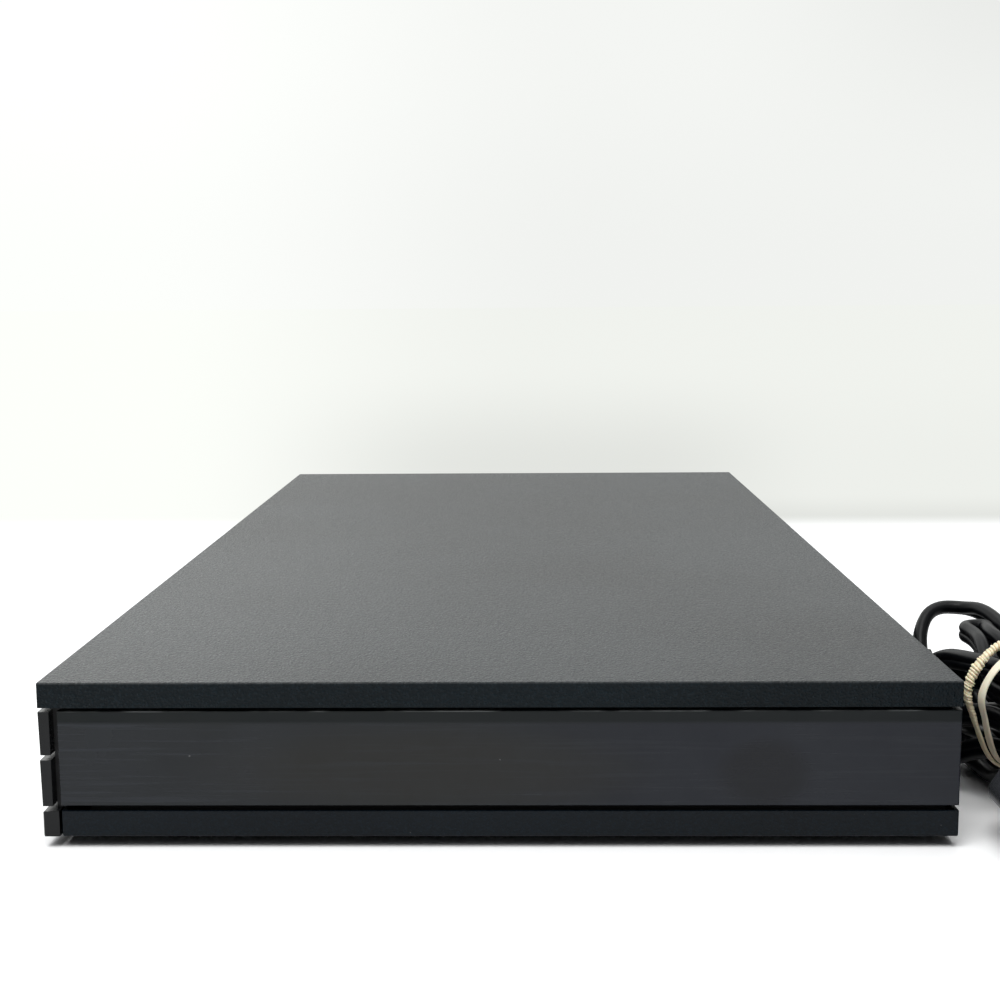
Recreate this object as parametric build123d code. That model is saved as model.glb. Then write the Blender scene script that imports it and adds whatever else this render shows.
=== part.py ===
"""A full-width disc player: a flat steel and plastic box with a slatted front, a motorised disc
tray, its loader, boards and rear sockets, and a flat two-core mains lead tied into a hank behind it.

X runs to the right as seen from the front, Y to the back, Z up. The origin is on the surface that
the player stands on, under the middle of its body. All sizes are in millimetres.
"""
import math
import os

from build123d import *

# Body sizes, from the bottom up
width = 430.0
depth = 230.0
foot_height = 3.0
strip_height = 6.6
lower_gap = 1.35
panel_height = 24.55
upper_gap = 1.0
cover_height = 6.5

pan_bottom = foot_height
strip_top = pan_bottom + strip_height
panel_bottom = strip_top + lower_gap
panel_top = panel_bottom + panel_height
cover_bottom = panel_top + upper_gap
cover_top = cover_bottom + cover_height
half_width = width / 2
half_depth = depth / 2

# Sheet and wall thicknesses
sheet = 1.0
cover_sheet = 1.2
cover_under = cover_top - cover_sheet
pan_floor = pan_bottom + sheet
edge_round = 0.4

# Front: slats, lip, carrier
slat_thickness = 2.75
slat_lean = 0.2
slat_split = 1.3
slat_side_inset = 0.4
upper_slat_height = 11.2
front_face = -half_depth
slat_back = front_face + slat_thickness
slat_half = half_width - slat_side_inset
upper_slat_top = panel_top - 0.1
upper_slat_bottom = upper_slat_top - upper_slat_height
lower_slat_top = upper_slat_bottom - slat_split
lower_slat_bottom = panel_bottom
lip_thickness = 4.1
lip_back = front_face + 0.1 + lip_thickness
lip_to_pan = 0.65
lip_tab_xs = [(half_width - 35.0) * (i - 3) / 3 for i in range(7)]
lip_tab_width = 12.0
pan_front = lip_back + lip_to_pan
bezel_wall = 2.2
bezel_back = slat_back + bezel_wall
bezel_half = half_width - 4.0
seam = 0.4

# Side panels and the steel frames that carry them
panel_inset = 0.6
panel_thickness = 2.4
panel_front = bezel_back - 0.25
frame_outer = half_width - 4.8
frame_inner = frame_outer - sheet
frame_front = front_face + 11.0
frame_flange = 9.0
rear_face = half_depth - cover_sheet
rear_inner = rear_face - sheet
clip_ys = (front_face + 35.0, front_face + 105.0, front_face + 175.0, half_depth - 10.0)
clip_z = (panel_bottom + panel_top) / 2
clip_radius = 2.0
clip_clearance = 0.3

# Feet
foot_radius = 11.0
foot_x = half_width - 35.0
foot_y = half_depth - 27.0
foot_hole_radius = 3.2
foot_hole_depth = 1.6

# Disc tray and its place in the loader
disc_radius = 60.0
disc_y = front_face + 68.5
tray_half = 65.1
tray_side_clearance = 0.3
tray_bottom = 25.5
tray_height = 7.5
tray_top = tray_bottom + tray_height
tray_front = slat_back - 0.25
tray_rear = disc_y + 85.0
tray_wall = 2.0
tray_deck = 1.5
tray_travel = 126.0
recess_depth = 1.8
recess_clearance = 0.7
small_disc_radius = 40.0
small_recess_depth = 0.5
slot_half = 20.0
hub_opening = 19.0
lid_half = 70.0
lid_thickness = slat_thickness - 0.25

# Loader housing
loader_wall = 3.0
loader_inner = tray_half + tray_side_clearance
loader_outer = loader_inner + loader_wall
loader_front = bezel_back + 1.0
loader_rear = tray_rear + 1.5
loader_bottom = 6.0
loader_top = 34.6
deck_bottom = 12.0
deck_thickness = 2.0
deck_top = deck_bottom + deck_thickness
gear_y = front_face + 22.0
deck_rear = gear_y + 20.0
ledge_width = 5.0
ledge_clearance = 0.2
hold_down_clearance = 0.3
lug_length = 8.0

# Gears and belt of the loader
gear_module = 1.0
pressure_angle = math.radians(20.0)
tooth_slack = 0.12
tray_gear_teeth = 30
small_gear_teeth = 14
gear_thickness = 3.2
gear_bottom = tray_bottom + 0.4
rack_pitch_x = -50.0
tray_gear_x = rack_pitch_x + gear_module * tray_gear_teeth / 2
pulley_gear_x = tray_gear_x + gear_module * (tray_gear_teeth + small_gear_teeth) / 2
rack_width = 5.0
rack_teeth = 45
axle_radius = 2.0
axle_clearance = 0.06
pulley_radius = 12.0
motor_pulley_radius = 3.0
pulley_thickness = 4.0
pulley_bottom = 17.5
belt_thickness = 1.2
belt_height = 1.6
loading_motor_x = pulley_gear_x + 36.0
loading_motor_radius = 10.0
loading_motor_height = 7.0
motor_shaft_radius = 1.0

# Traverse: the hinged frame with the spindle, the pickup, its rods and its feed
traverse_half = 34.0
traverse_front = disc_y - 19.5
traverse_rear = disc_y + 77.5
traverse_bottom = 14.0
traverse_thickness = 2.5
traverse_top = traverse_bottom + traverse_thickness
traverse_pivot_y = traverse_rear - 2.0
traverse_pivot_z = traverse_bottom + traverse_thickness / 2
pivot_radius = 1.2
pivot_clearance = 0.06
pivot_length = 3.0
pivot_gap = 0.4
lift_pin_radius = 1.2
lift_pin_x = 15.0
lift_drop = 4.0
cam_travel = 24.0
cam_thickness = 2.0
cam_clearance = 0.3
cam_end = 4.0
cam_y = (deck_rear + cam_clearance, deck_rear + cam_clearance + cam_thickness)
rail_top = loader_bottom + 2.0
cam_bottom = rail_top + cam_clearance
rod_radius = 1.5
rod_x = 24.0
rod_z = 19.5
rod_seat = 1.5
rod_clearance = 0.05
pickup_travel = 33.0
pickup_length = 22.0
pickup_front = disc_y + 16.5
end_gap = 1.0
end_block = 2.0
lens_y = disc_y + 24.0
screw_x = -31.0
screw_z = 19.5
screw_radius = 1.3
thread_depth = 0.35
thread_pitch = 3.0
thread_foot = 0.9
feed_motor_radius = 5.5
feed_motor_length = 12.0
turntable_top = 34.0
turntable_radius = 13.0
spindle_can_radius = 12.0
hub_radius = 7.4
hub_height = 1.8

# Clamp over the disc
bridge_bottom = 37.2
bridge_half_length = 18.0
puck_radius = 12.3
puck_hole_clearance = 0.4
puck_flange = 2.2
puck_bottom = turntable_top + 1.4

# Boards and what stands on them
board_thickness = 1.6
board_bottom = 9.0
board_top = board_bottom + board_thickness
standoff_radius = 3.0
board_screw_radius = 1.25
board_gap = 17.6
board_edge = 9.2
main_board_x = (board_edge - frame_inner, -loader_outer - board_gap)
main_board_y = (half_depth - 139.0, half_depth - 4.0)
power_board_x = (loader_outer + board_gap, frame_inner - board_edge)
power_board_y = (main_board_y[0], half_depth - 23.0)
board_margin = 6.0
chip_place = (sum(main_board_x) / 2 - 7.0, main_board_y[0] + 54.0)
chip_size = 27.0
chip_height = 2.0
sink_size = 40.0
sink_height = 14.0
transformer_place = (power_board_x[0] + 48.0, power_board_y[0] + 54.0)
transformer_size = (28.0, 30.0, 22.0)
main_capacitor_radius = 9.0
cooler_x = (power_board_x[0] + 34.0, power_board_x[0] + 84.0)
cooler_y = power_board_y[0] + 18.0
cooler_height = 24.0
harness_x = 99.0
harness_y = power_board_y[1] - 26.0
floor_vent_xs = [side * (half_width - 100.0 + 16.0 * i) for side in (-1, 1) for i in range(4)]
floor_vent_ys = [main_board_y[0] + 34.0 + 7.0 * i for i in range(7)]
vent_slot = (11.0, 2.4)

# Screws
cover_screw_xs = (65.0 - half_width, 0.0, half_width - 65.0)
cover_screw_z = (cover_bottom + cover_under) / 2
screw_clearance = 0.15
screw_shank = 1.4
screw_head = 2.5
screw_head_height = 1.4
screw_length = 6.0

# Rear sockets
hdmi_xs = (main_board_x[0] + 18.0, main_board_x[0] + 37.0)
lan_x = main_board_x[0] + 58.0
optical_x = main_board_x[0] + 84.0
socket_clearance = 0.3
socket_proud = 0.6
hdmi_size = (15.0, 6.2)
hdmi_mouth = (14.0, 4.6)
hdmi_depth = 12.0
lan_size = (16.2, 13.6)
lan_mouth = (11.8, 8.0)
lan_depth = 18.0
optical_size = (9.8, 10.0)
optical_depth = 12.0
rear_vent_xs = [6.0 * (i - 12) for i in range(25)]
rear_vent_width = 3.0
rear_vent_z = (14.0, 32.0)

# Front controls
button_size = (13.0, 5.2)
button_travel = 0.6
button_clearance = 0.25
power_button_x = half_width - 27.0
eject_button_x = power_button_x - 20.0
button_z = (upper_slat_top + upper_slat_bottom) / 2
button_flange = 1.5
front_board_y = front_face + 11.4
front_board_x = (loader_outer + 13.6, frame_inner - 3.2)
front_board_z = (12.0, 35.0)
boss_places = [(x, z) for x in (front_board_x[0] + 4.5, front_board_x[1] - 4.5) for z in (14.5, 32.5)]
bezel_return = 12.05
switch_size = 6.0
switch_height = 1.8
switch_front = front_board_y - switch_height - 1.0
usb_x = half_width - 65.0
usb_door_half = 13.0
usb_size = (14.0, 6.6)
usb_mouth = (12.5, 5.1)
usb_length = 15.0
usb_z = (lower_slat_top + lower_slat_bottom) / 2
door_pivot_inset = 1.2
door_pin_radius = 0.6
door_pin_length = 1.5
door_pin_clearance = 0.05
door_z = lower_slat_bottom + door_pivot_inset
door_y = tray_front - door_pivot_inset
window_x = half_width - 107.0
window_size = (22.0, 5.6)
window_clearance = 0.1

# Mains lead and the sleeve that holds it in the back
lead_radius = 2.4
lead_exit_x = half_width - 111.0
lead_exit_z = 20.0
relief_hole_radius = 5.2
relief_clearance = 0.1
relief_radius = 6.4
relief_tip_radius = 3.9
relief_length = 23.2
floor_gap = 0.3

# The tied hank of the lead: its waist, its near end over the plug and its far end on the floor.
# A turn lies wide or narrow in its layer, so that two turns share one layer side by side.
hank_turns = 7
hank_x = half_width - 25.0
hank_y = half_depth + 24.9
hank_z = 30.2
hank_lean = math.radians(14.0)
waist_wide = 8.6
waist_narrow = 2.7
waist_step = 6.1
near_x = half_width + 9.0
near_y = half_depth + 33.5
near_wide = 13.6
near_narrow = 7.5
near_low = 26.5
near_step = 5.9
far_x = half_width - 65.0
far_y = half_depth + 17.8
far_wide = 14.2
far_narrow = 7.3
far_step = 9.8

# The two rubber bands: their places along the hank from its waist, their room and their sections
waist_reach = math.hypot(waist_wide, 1.5 * waist_step) + lead_radius
twisted_band_place = -3.5
twisted_band_clearance = 1.34
twisted_band_size = (2.4, 1.4)
flat_band_place = 2.5
flat_band_clearance = 0.64
flat_band_size = (3.2, 0.9)

# The plug on the lead's end, which lies rolled over on one edge
plug_entry = (half_width - 19.0, half_depth + 21.0, 9.4)
plug_shoulder = (half_width - 6.3, half_depth + 21.0, 11.0)
plug_roll = math.radians(32.0)
plug_neck_width = 6.4
plug_size = (25.0, 24.0, 13.0)
plug_round = 4.0
blade_size = (16.0, 1.5, 6.3)
blade_gap = 12.7


def block(x, y, z):
    """A box between pairs of coordinates."""
    sides = [high - low for low, high in (x, y, z)]
    middle = [(high + low) / 2 for low, high in (x, y, z)]
    return Pos(*middle) * Box(*sides)


def post(x, y, z, radius):
    """An upright round bar from z[0] to z[1]."""
    return Pos(x, y, (z[0] + z[1]) / 2) * Cylinder(radius, z[1] - z[0])


def bar_x(x, y, z, radius):
    """A round bar along X from x[0] to x[1]."""
    return Pos((x[0] + x[1]) / 2, y, z) * Rot(0, 90, 0) * Cylinder(radius, x[1] - x[0])


def bar_y(x, y, z, radius):
    """A round bar along Y from y[0] to y[1]."""
    return Pos(x, (y[0] + y[1]) / 2, z) * Rot(90, 0, 0) * Cylinder(radius, y[1] - y[0])


def around(centre, size):
    """The pair of coordinates that lie half of size each side of centre."""
    return (centre - size / 2, centre + size / 2)


def mirrored(side, low, high):
    """A pair of coordinates measured from the middle, on side +1 or -1, in rising order."""
    return (low, high) if side > 0 else (-high, -low)


def fuse(shapes):
    """All the shapes as one."""
    shapes = list(shapes)
    return shapes[0] + shapes[1:] if len(shapes) > 1 else shapes[0]


def together(shapes):
    """Separate pieces that share one name."""
    return Compound(children=[solid for shape in shapes for solid in shape.solids()])


def prism_along_x(points, x):
    """A solid with an outline of (y, z) points, from x[0] to x[1]."""
    outline = Plane(origin=(x[0], 0, 0), x_dir=(0, 1, 0), z_dir=(1, 0, 0)) * Polygon(*points, align=None)
    return extrude(outline, x[1] - x[0], dir=(1, 0, 0))


def save(name, shape):
    """Writes one sub-part's solids under its name."""
    solids = shape.solids()
    whole = Compound(children=solids) if len(solids) > 1 else solids[0]
    export_step(whole, f"parts/{name}.step")


def top_cover():
    """The folded steel cover: a flat sheet with a deep rim, and countersunk holes in the back of the rim."""
    outer = block((-half_width, half_width), (-half_depth, half_depth), (cover_bottom, cover_top))
    outer = fillet(outer.edges().group_by(Axis.Z)[-1] + outer.edges().filter_by(Axis.Z), edge_round)
    hollow = block(
        (-half_width + cover_sheet, half_width - cover_sheet),
        (-half_depth + cover_sheet, half_depth - cover_sheet),
        (cover_bottom - sheet, cover_under),
    )
    cover = outer - hollow
    for x in cover_screw_xs:
        cover -= cover_screw(x, screw_clearance)
    return cover


def cover_screw(x, grow=0.0):
    """A countersunk screw, flush with the back of the cover's rim. grow widens it for its hole."""
    head = Pos(x, half_depth - cover_sheet / 2, cover_screw_z) * Rot(90, 0, 0) * Cone(
        screw_head + grow, screw_shank + grow, cover_sheet
    )
    shank = (half_depth - screw_length, half_depth - cover_sheet)
    return head + bar_y(x, shank, cover_screw_z, screw_shank + grow)


def screw_down(x, y, seat, length):
    """A pan-head screw with its head on a seat and its shank below it."""
    head = post(x, y, (seat, seat + screw_head_height), screw_head)
    drive = post(x, y, (seat + screw_head_height / 2, seat + screw_head_height), 0.9)
    return head - drive + post(x, y, (seat - length, seat), board_screw_radius - 0.1)


def screw_up(x, y, seat, length):
    """A pan-head screw driven from below, with its head under a seat."""
    head = post(x, y, (seat - screw_head_height, seat), screw_head)
    drive = post(x, y, (seat - screw_head_height, seat - screw_head_height / 2), 0.9)
    return head - drive + post(x, y, (seat, seat + length), board_screw_radius - 0.1)


def board_corners(x, y):
    """The four places where a board is screwed down."""
    across = (x[0] + board_margin, x[1] - board_margin)
    along = (y[0] + board_margin, y[1] - board_margin)
    return [(a, b) for a in across for b in along]


def loader_lugs():
    """The four places where the loader is screwed to the pan."""
    return [
        (side * (loader_outer + lug_length / 2), y)
        for side in (-1, 1)
        for y in (loader_front + 20.0, loader_rear - 8.0)
    ]


def base_pan():
    """The steel bottom: a floor with a rim that shows as the strip under the side panels."""
    side = half_width - slat_side_inset
    outer = block((-side, side), (pan_front, half_depth), (pan_bottom, strip_top))
    outer = fillet(outer.edges().group_by(Axis.Z)[0] + outer.edges().filter_by(Axis.Z), edge_round)
    pan = outer - block(
        (-side + sheet, side - sheet), (pan_front + sheet, half_depth - sheet), (pan_floor, strip_top + sheet)
    )
    for x, y in board_corners(main_board_x, main_board_y) + board_corners(power_board_x, power_board_y):
        pan += post(x, y, (pan_floor, board_bottom), standoff_radius)
        pan -= post(x, y, (pan_floor, board_bottom), board_screw_radius)
    for x, y in loader_lugs():
        pan += post(x, y, (pan_floor, loader_bottom), standoff_radius)
        pan -= post(x, y, (pan_bottom, loader_bottom), board_screw_radius)
    for x, y in foot_places():
        pan -= post(x, y, (pan_bottom, pan_floor), board_screw_radius)
    slots = [
        block(around(x, vent_slot[0]), around(y, vent_slot[1]), (pan_bottom - sheet, pan_floor + sheet))
        for x in floor_vent_xs
        for y in floor_vent_ys
    ]
    return pan - slots


def foot_places():
    """Where the four feet stand."""
    return [(x, y) for x in (-foot_x, foot_x) for y in (-foot_y, foot_y)]


def foot(x, y):
    """A round rubber foot with a screw well in its underside."""
    body = post(x, y, (0.0, foot_height), foot_radius)
    body = chamfer(body.edges().group_by(Axis.Z)[0], 0.5)
    well = post(x, y, (0.0, foot_hole_depth), foot_hole_radius)
    return body - well - post(x, y, (0.0, foot_height), board_screw_radius)


def side_frame(side):
    """A folded steel frame: an upright wall with a flange at its foot and one that carries the cover."""
    along = (frame_front, rear_inner)
    flange = mirrored(side, frame_inner - frame_flange, frame_inner)
    frame = block(mirrored(side, frame_inner, frame_outer), along, (pan_floor, cover_under))
    frame += block(flange, along, (pan_floor, pan_floor + sheet))
    frame += block(flange, along, (cover_under - sheet, cover_under))
    through = mirrored(side, frame_inner - sheet, frame_outer + sheet)
    for y in clip_ys:
        frame -= bar_x(through, y, clip_z, clip_radius + clip_clearance)
    return frame


def side_panel(side):
    """A smooth plastic side with ribs and clip pegs on its hidden face and a lip that closes its back end."""
    outer = half_width - panel_inset
    inner = outer - panel_thickness
    plate = block(mirrored(side, inner, outer), (panel_front, half_depth), (panel_bottom, panel_top))
    shown = plate.edges().group_by(Axis.X)[-1 if side > 0 else 0]
    plate = fillet(shown, 0.3)
    rib_zs = (panel_bottom + 1.5, panel_top - 1.5)
    between = mirrored(side, frame_outer, inner)
    ribs = [block(between, (frame_front + 2.0, rear_face - 2.0), around(z, 1.4)) for z in rib_zs]
    back_lip = block(between, (rear_face, half_depth), (panel_bottom, panel_top))
    pegs = [bar_x(mirrored(side, frame_inner - 1.5, inner), y, clip_z, clip_radius) for y in clip_ys]
    return plate + ribs + [back_lip] + pegs


def leaning_slat(x, z, back):
    """A slat whose front face leans back towards its foot."""
    front_top = (front_face, z[1])
    front_foot = (front_face + slat_lean, z[0])
    return prism_along_x([front_foot, front_top, (back, z[1]), (back, z[0])], x)


def rounded_window(x, z, size, y, grow=0.0):
    """A bar with rounded-rectangle ends, along Y, centred at x and z."""
    outline = Plane(origin=(x, y[0], z), x_dir=(1, 0, 0), z_dir=(0, 1, 0)) * RectangleRounded(
        size[0] + 2 * grow, size[1] + 2 * grow, min(size) * 0.2
    )
    return extrude(outline, y[1] - y[0])


def upper_slat(side):
    """The fixed slat beside the tray's lid. The right one is pierced by the buttons."""
    along = mirrored(side, lid_half + seam, slat_half)
    slat = leaning_slat(along, (upper_slat_bottom, upper_slat_top), slat_back)
    if side > 0:
        through = (front_face - 1.0, slat_back + 1.0)
        for x in (power_button_x, eject_button_x):
            slat -= rounded_window(x, button_z, button_size, through, button_clearance)
    return slat


def lower_slat(x):
    """A stretch of the lower slat, with blind holes at its ends for the socket door's pins."""
    slat = leaning_slat(x, (lower_slat_bottom, lower_slat_top), slat_back)
    hole = (usb_x - usb_door_half - seam - door_pin_length, usb_x + usb_door_half + seam + door_pin_length)
    slat -= bar_x(hole, door_y, door_z, door_pin_radius + door_pin_clearance)
    through = (front_face - 1.0, slat_back + 1.0)
    return slat - rounded_window(window_x, usb_z, window_size, through)


def usb_door():
    """The little door over the front socket: it hangs on two pins at its foot."""
    x = around(usb_x, 2 * usb_door_half)
    leaf = leaning_slat(x, (door_z, lower_slat_top), tray_front)
    foot_roll = bar_x(x, door_y, door_z, door_pivot_inset)
    reach = seam + door_pin_length - 0.3
    pins = bar_x((x[0] - reach, x[1] + reach), door_y, door_z, door_pin_radius)
    nail_groove = block(
        around(usb_x, 10.0),
        (front_face - 1.0, front_face + 0.6),
        (lower_slat_top - 0.8, lower_slat_top + 1.0),
    )
    return leaf + foot_roll + pins - nail_groove


def front_lip():
    """The bar along the foot of the front, with tabs that reach back to the pan."""
    bar = block((-slat_half, slat_half), (front_face + 0.1, lip_back), (pan_bottom, strip_top))
    bar = chamfer(bar.edges().group_by(Axis.Y)[0], 0.3)
    tab_z = (pan_bottom + 1.5, strip_top - 1.0)
    return bar + [block(around(x, lip_tab_width), (lip_back, pan_front), tab_z) for x in lip_tab_xs]


def front_bezel():
    """The plastic carrier behind the slats, with the tray's opening and guides for the controls."""
    wall = block((-bezel_half, bezel_half), (slat_back, bezel_back), (strip_top, cover_under))
    return_y = (bezel_back, bezel_back + bezel_return)
    return_z = (strip_top + 0.4, cover_under - sheet)
    returns = [block(mirrored(side, frame_inner - 2.0, frame_inner), return_y, return_z) for side in (-1, 1)]
    bosses = [bar_y(x, (bezel_back, front_board_y), z, 2.6) for x, z in boss_places]
    bezel = wall + returns + bosses
    through = (slat_back - 1.0, bezel_back + 1.0)
    bezel -= block(around(0.0, 2 * (tray_half + 1.2)), through, (tray_bottom - 0.6, tray_top + 1.4))
    for x in (power_button_x, eject_button_x):
        bezel -= rounded_window(x, button_z, button_size, through, button_clearance)
    bezel -= rounded_window(window_x, usb_z, window_size, through)
    bezel -= block(around(usb_x, usb_size[0]), through, around(usb_z, usb_size[1]))
    for x, z in boss_places:
        bezel -= bar_y(x, (bezel_back, front_board_y), z, 1.0)
    return bezel


def front_button(x):
    """A push button: a cap through the slat, a flange behind the carrier and a stem to its switch."""
    cap = rounded_window(x, button_z, button_size, (front_face, bezel_back + 0.3))
    cap = chamfer(cap.edges().group_by(Axis.Y)[0], 0.25)
    flange = block(
        around(x, button_size[0] + 2 * button_flange),
        (bezel_back + 0.15, bezel_back + 1.15),
        around(button_z, button_size[1] + 2 * button_flange),
    )
    stem = bar_y(x, (bezel_back + 1.15, switch_front - button_travel - 0.2), button_z, 1.5)
    return cap + flange + stem


def front_window():
    """The smoked window of the remote receiver."""
    deep = (front_face + slat_lean, bezel_back)
    return rounded_window(window_x, usb_z, window_size, deep, -window_clearance)


def front_board():
    """The upright board behind the controls, cut out round the front socket."""
    board = block(front_board_x, (front_board_y, front_board_y + board_thickness), front_board_z)
    through = (front_board_y - 1.0, front_board_y + board_thickness + 1.0)
    board -= block(around(usb_x, usb_size[0]), through, around(usb_z, usb_size[1]))
    for x, z in boss_places:
        board -= bar_y(x, through, z, 1.0)
    return board


def front_switches():
    """The two tact switches, and the remote receiver behind its window."""
    made = []
    face = front_board_y - switch_height
    for x in (power_button_x, eject_button_x):
        body = block(around(x, switch_size), (face, front_board_y), around(button_z, switch_size))
        made.append(body + bar_y(x, (switch_front, face), button_z, 1.6))
    receiver = block(around(window_x, 7.0), (front_board_y - 4.0, front_board_y), around(usb_z, 6.0))
    made.append(receiver + Pos(window_x, front_board_y - 4.0, usb_z) * Sphere(2.0))
    return together(made)


def usb_port():
    """The front socket: a folded metal shell with a plastic tongue."""
    y = (slat_back + 0.15, slat_back + 0.15 + usb_length)
    shell = block(around(usb_x, usb_size[0]), y, around(usb_z, usb_size[1]))
    shell -= block(around(usb_x, usb_mouth[0]), (y[0], y[1] - 2.0), around(usb_z, usb_mouth[1]))
    tongue = block(around(usb_x, usb_mouth[0] - 1.2), (y[0] + 1.0, y[1] - 2.0), (usb_z + 0.2, usb_z + 2.0))
    return shell + tongue


def tooth_flank(radius_base, radius, half_angle_at_base):
    """A point on a tooth's involute flank: the radius, and the angle from the tooth's middle."""
    roll = math.sqrt(max((radius / radius_base) ** 2 - 1.0, 0.0))
    return half_angle_at_base - (roll - math.atan(roll))


def gear_outline(teeth):
    """The face of a spur gear with a tooth on +X: each flank is an arc through three involute points."""
    pitch_radius = gear_module * teeth / 2
    base = pitch_radius * math.cos(pressure_angle)
    tip = pitch_radius + 0.9 * gear_module
    root = pitch_radius - 1.25 * gear_module
    start = max(base, root)
    roll = math.tan(pressure_angle)
    half_pitch = (math.pi * gear_module / 2 - tooth_slack) / 2 / pitch_radius
    half_base = half_pitch + (roll - pressure_angle)
    radii = (start, (start + tip) / 2, tip)
    angles = [tooth_flank(base, r, half_base) for r in radii]

    def place(r, a):
        return (r * math.cos(a), r * math.sin(a))

    edges = []
    step = 2 * math.pi / teeth
    for k in range(teeth):
        middle = k * step
        rising = [place(r, middle - a) for r, a in zip(radii, angles)]
        falling = [place(r, middle + a) for r, a in zip(radii, angles)][::-1]
        next_foot = place(start, middle + step - angles[0])
        floor = [place(root, middle + angles[0]), place(root, middle + step - angles[0])]
        edges += [ThreePointArc(*rising), Line(rising[-1], falling[0]), ThreePointArc(*falling)]
        if start > root:
            edges += [Line(falling[-1], floor[0]), Line(floor[0], floor[1]), Line(floor[1], next_foot)]
        else:
            edges.append(Line(falling[-1], next_foot))
    return make_face(edges)


def gear(teeth, x, turn):
    """A gear at x on its axle line, turned by an angle in degrees, in the layer under the tray's deck."""
    return Pos(x, gear_y, gear_bottom) * Rot(0, 0, turn) * extrude(gear_outline(teeth), gear_thickness)


def tray_gear():
    """The big gear that drives the tray's rack."""
    body = gear(tray_gear_teeth, tray_gear_x, 0.0)
    body += post(tray_gear_x, gear_y, (deck_top + 0.2, gear_bottom), 4.0)
    bore_radius = axle_radius + axle_clearance
    return body - post(tray_gear_x, gear_y, (deck_top, gear_bottom + gear_thickness), bore_radius)


def grooved_pulley(x, radius, bore):
    """A belt pulley: two flanges and a waist that the belt runs on."""
    top = pulley_bottom + pulley_thickness
    waist = (pulley_thickness - belt_height) / 2 - 0.2
    wheel = post(x, gear_y, (pulley_bottom, top), radius + belt_thickness)
    groove = post(x, gear_y, (pulley_bottom + waist, top - waist), radius + belt_thickness + 1.0)
    core = post(x, gear_y, (pulley_bottom, top), radius)
    return wheel - groove + core - post(x, gear_y, (pulley_bottom, top), bore)


def pulley_gear():
    """The belt wheel with the small gear on top of it."""
    turn = 180.0 / small_gear_teeth
    body = gear(small_gear_teeth, pulley_gear_x, turn)
    hub = post(pulley_gear_x, gear_y, (deck_top + 0.2, gear_bottom), 4.0)
    wheel = grooved_pulley(pulley_gear_x, pulley_radius, 3.0)
    bore = post(pulley_gear_x, gear_y, (deck_top, gear_bottom + gear_thickness), axle_radius + axle_clearance)
    return body + hub + wheel - bore


def motor_pulley():
    """The little pulley on the loading motor's shaft."""
    return grooved_pulley(loading_motor_x, motor_pulley_radius, motor_shaft_radius + 0.05)


def drive_belt():
    """The square rubber belt round both pulleys."""
    middle = pulley_bottom + pulley_thickness / 2
    slack = 0.06
    gap = loading_motor_x - pulley_gear_x

    def ring(extra):
        big, small = pulley_radius + slack + extra, motor_pulley_radius + slack + extra
        lean = math.asin((big - small) / gap)
        corners = [
            (pulley_gear_x + big * math.sin(lean), big * math.cos(lean)),
            (loading_motor_x + small * math.sin(lean), small * math.cos(lean)),
        ]
        outline = Polygon(*corners, *[(x, -y) for x, y in corners[::-1]], align=None)
        return outline + Pos(pulley_gear_x, 0) * Circle(big) + Pos(loading_motor_x, 0) * Circle(small)

    face = ring(belt_thickness - 2 * slack) - ring(0.0)
    return Pos(0, gear_y, middle - belt_height / 2) * extrude(face, belt_height, dir=(0, 0, 1))


def loading_motor():
    """The flat motor under the deck, with its shaft up through it."""
    can_bottom = deck_bottom - loading_motor_height
    can = post(loading_motor_x, gear_y, (can_bottom, deck_bottom), loading_motor_radius)
    can = chamfer(can.edges().group_by(Axis.Z)[0], 0.6)
    boss = post(loading_motor_x, gear_y, (deck_bottom, deck_top), 3.0)
    shaft_top = pulley_bottom + pulley_thickness + 0.5
    shaft = post(loading_motor_x, gear_y, (deck_top, shaft_top), motor_shaft_radius)
    return can + boss + shaft


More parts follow.
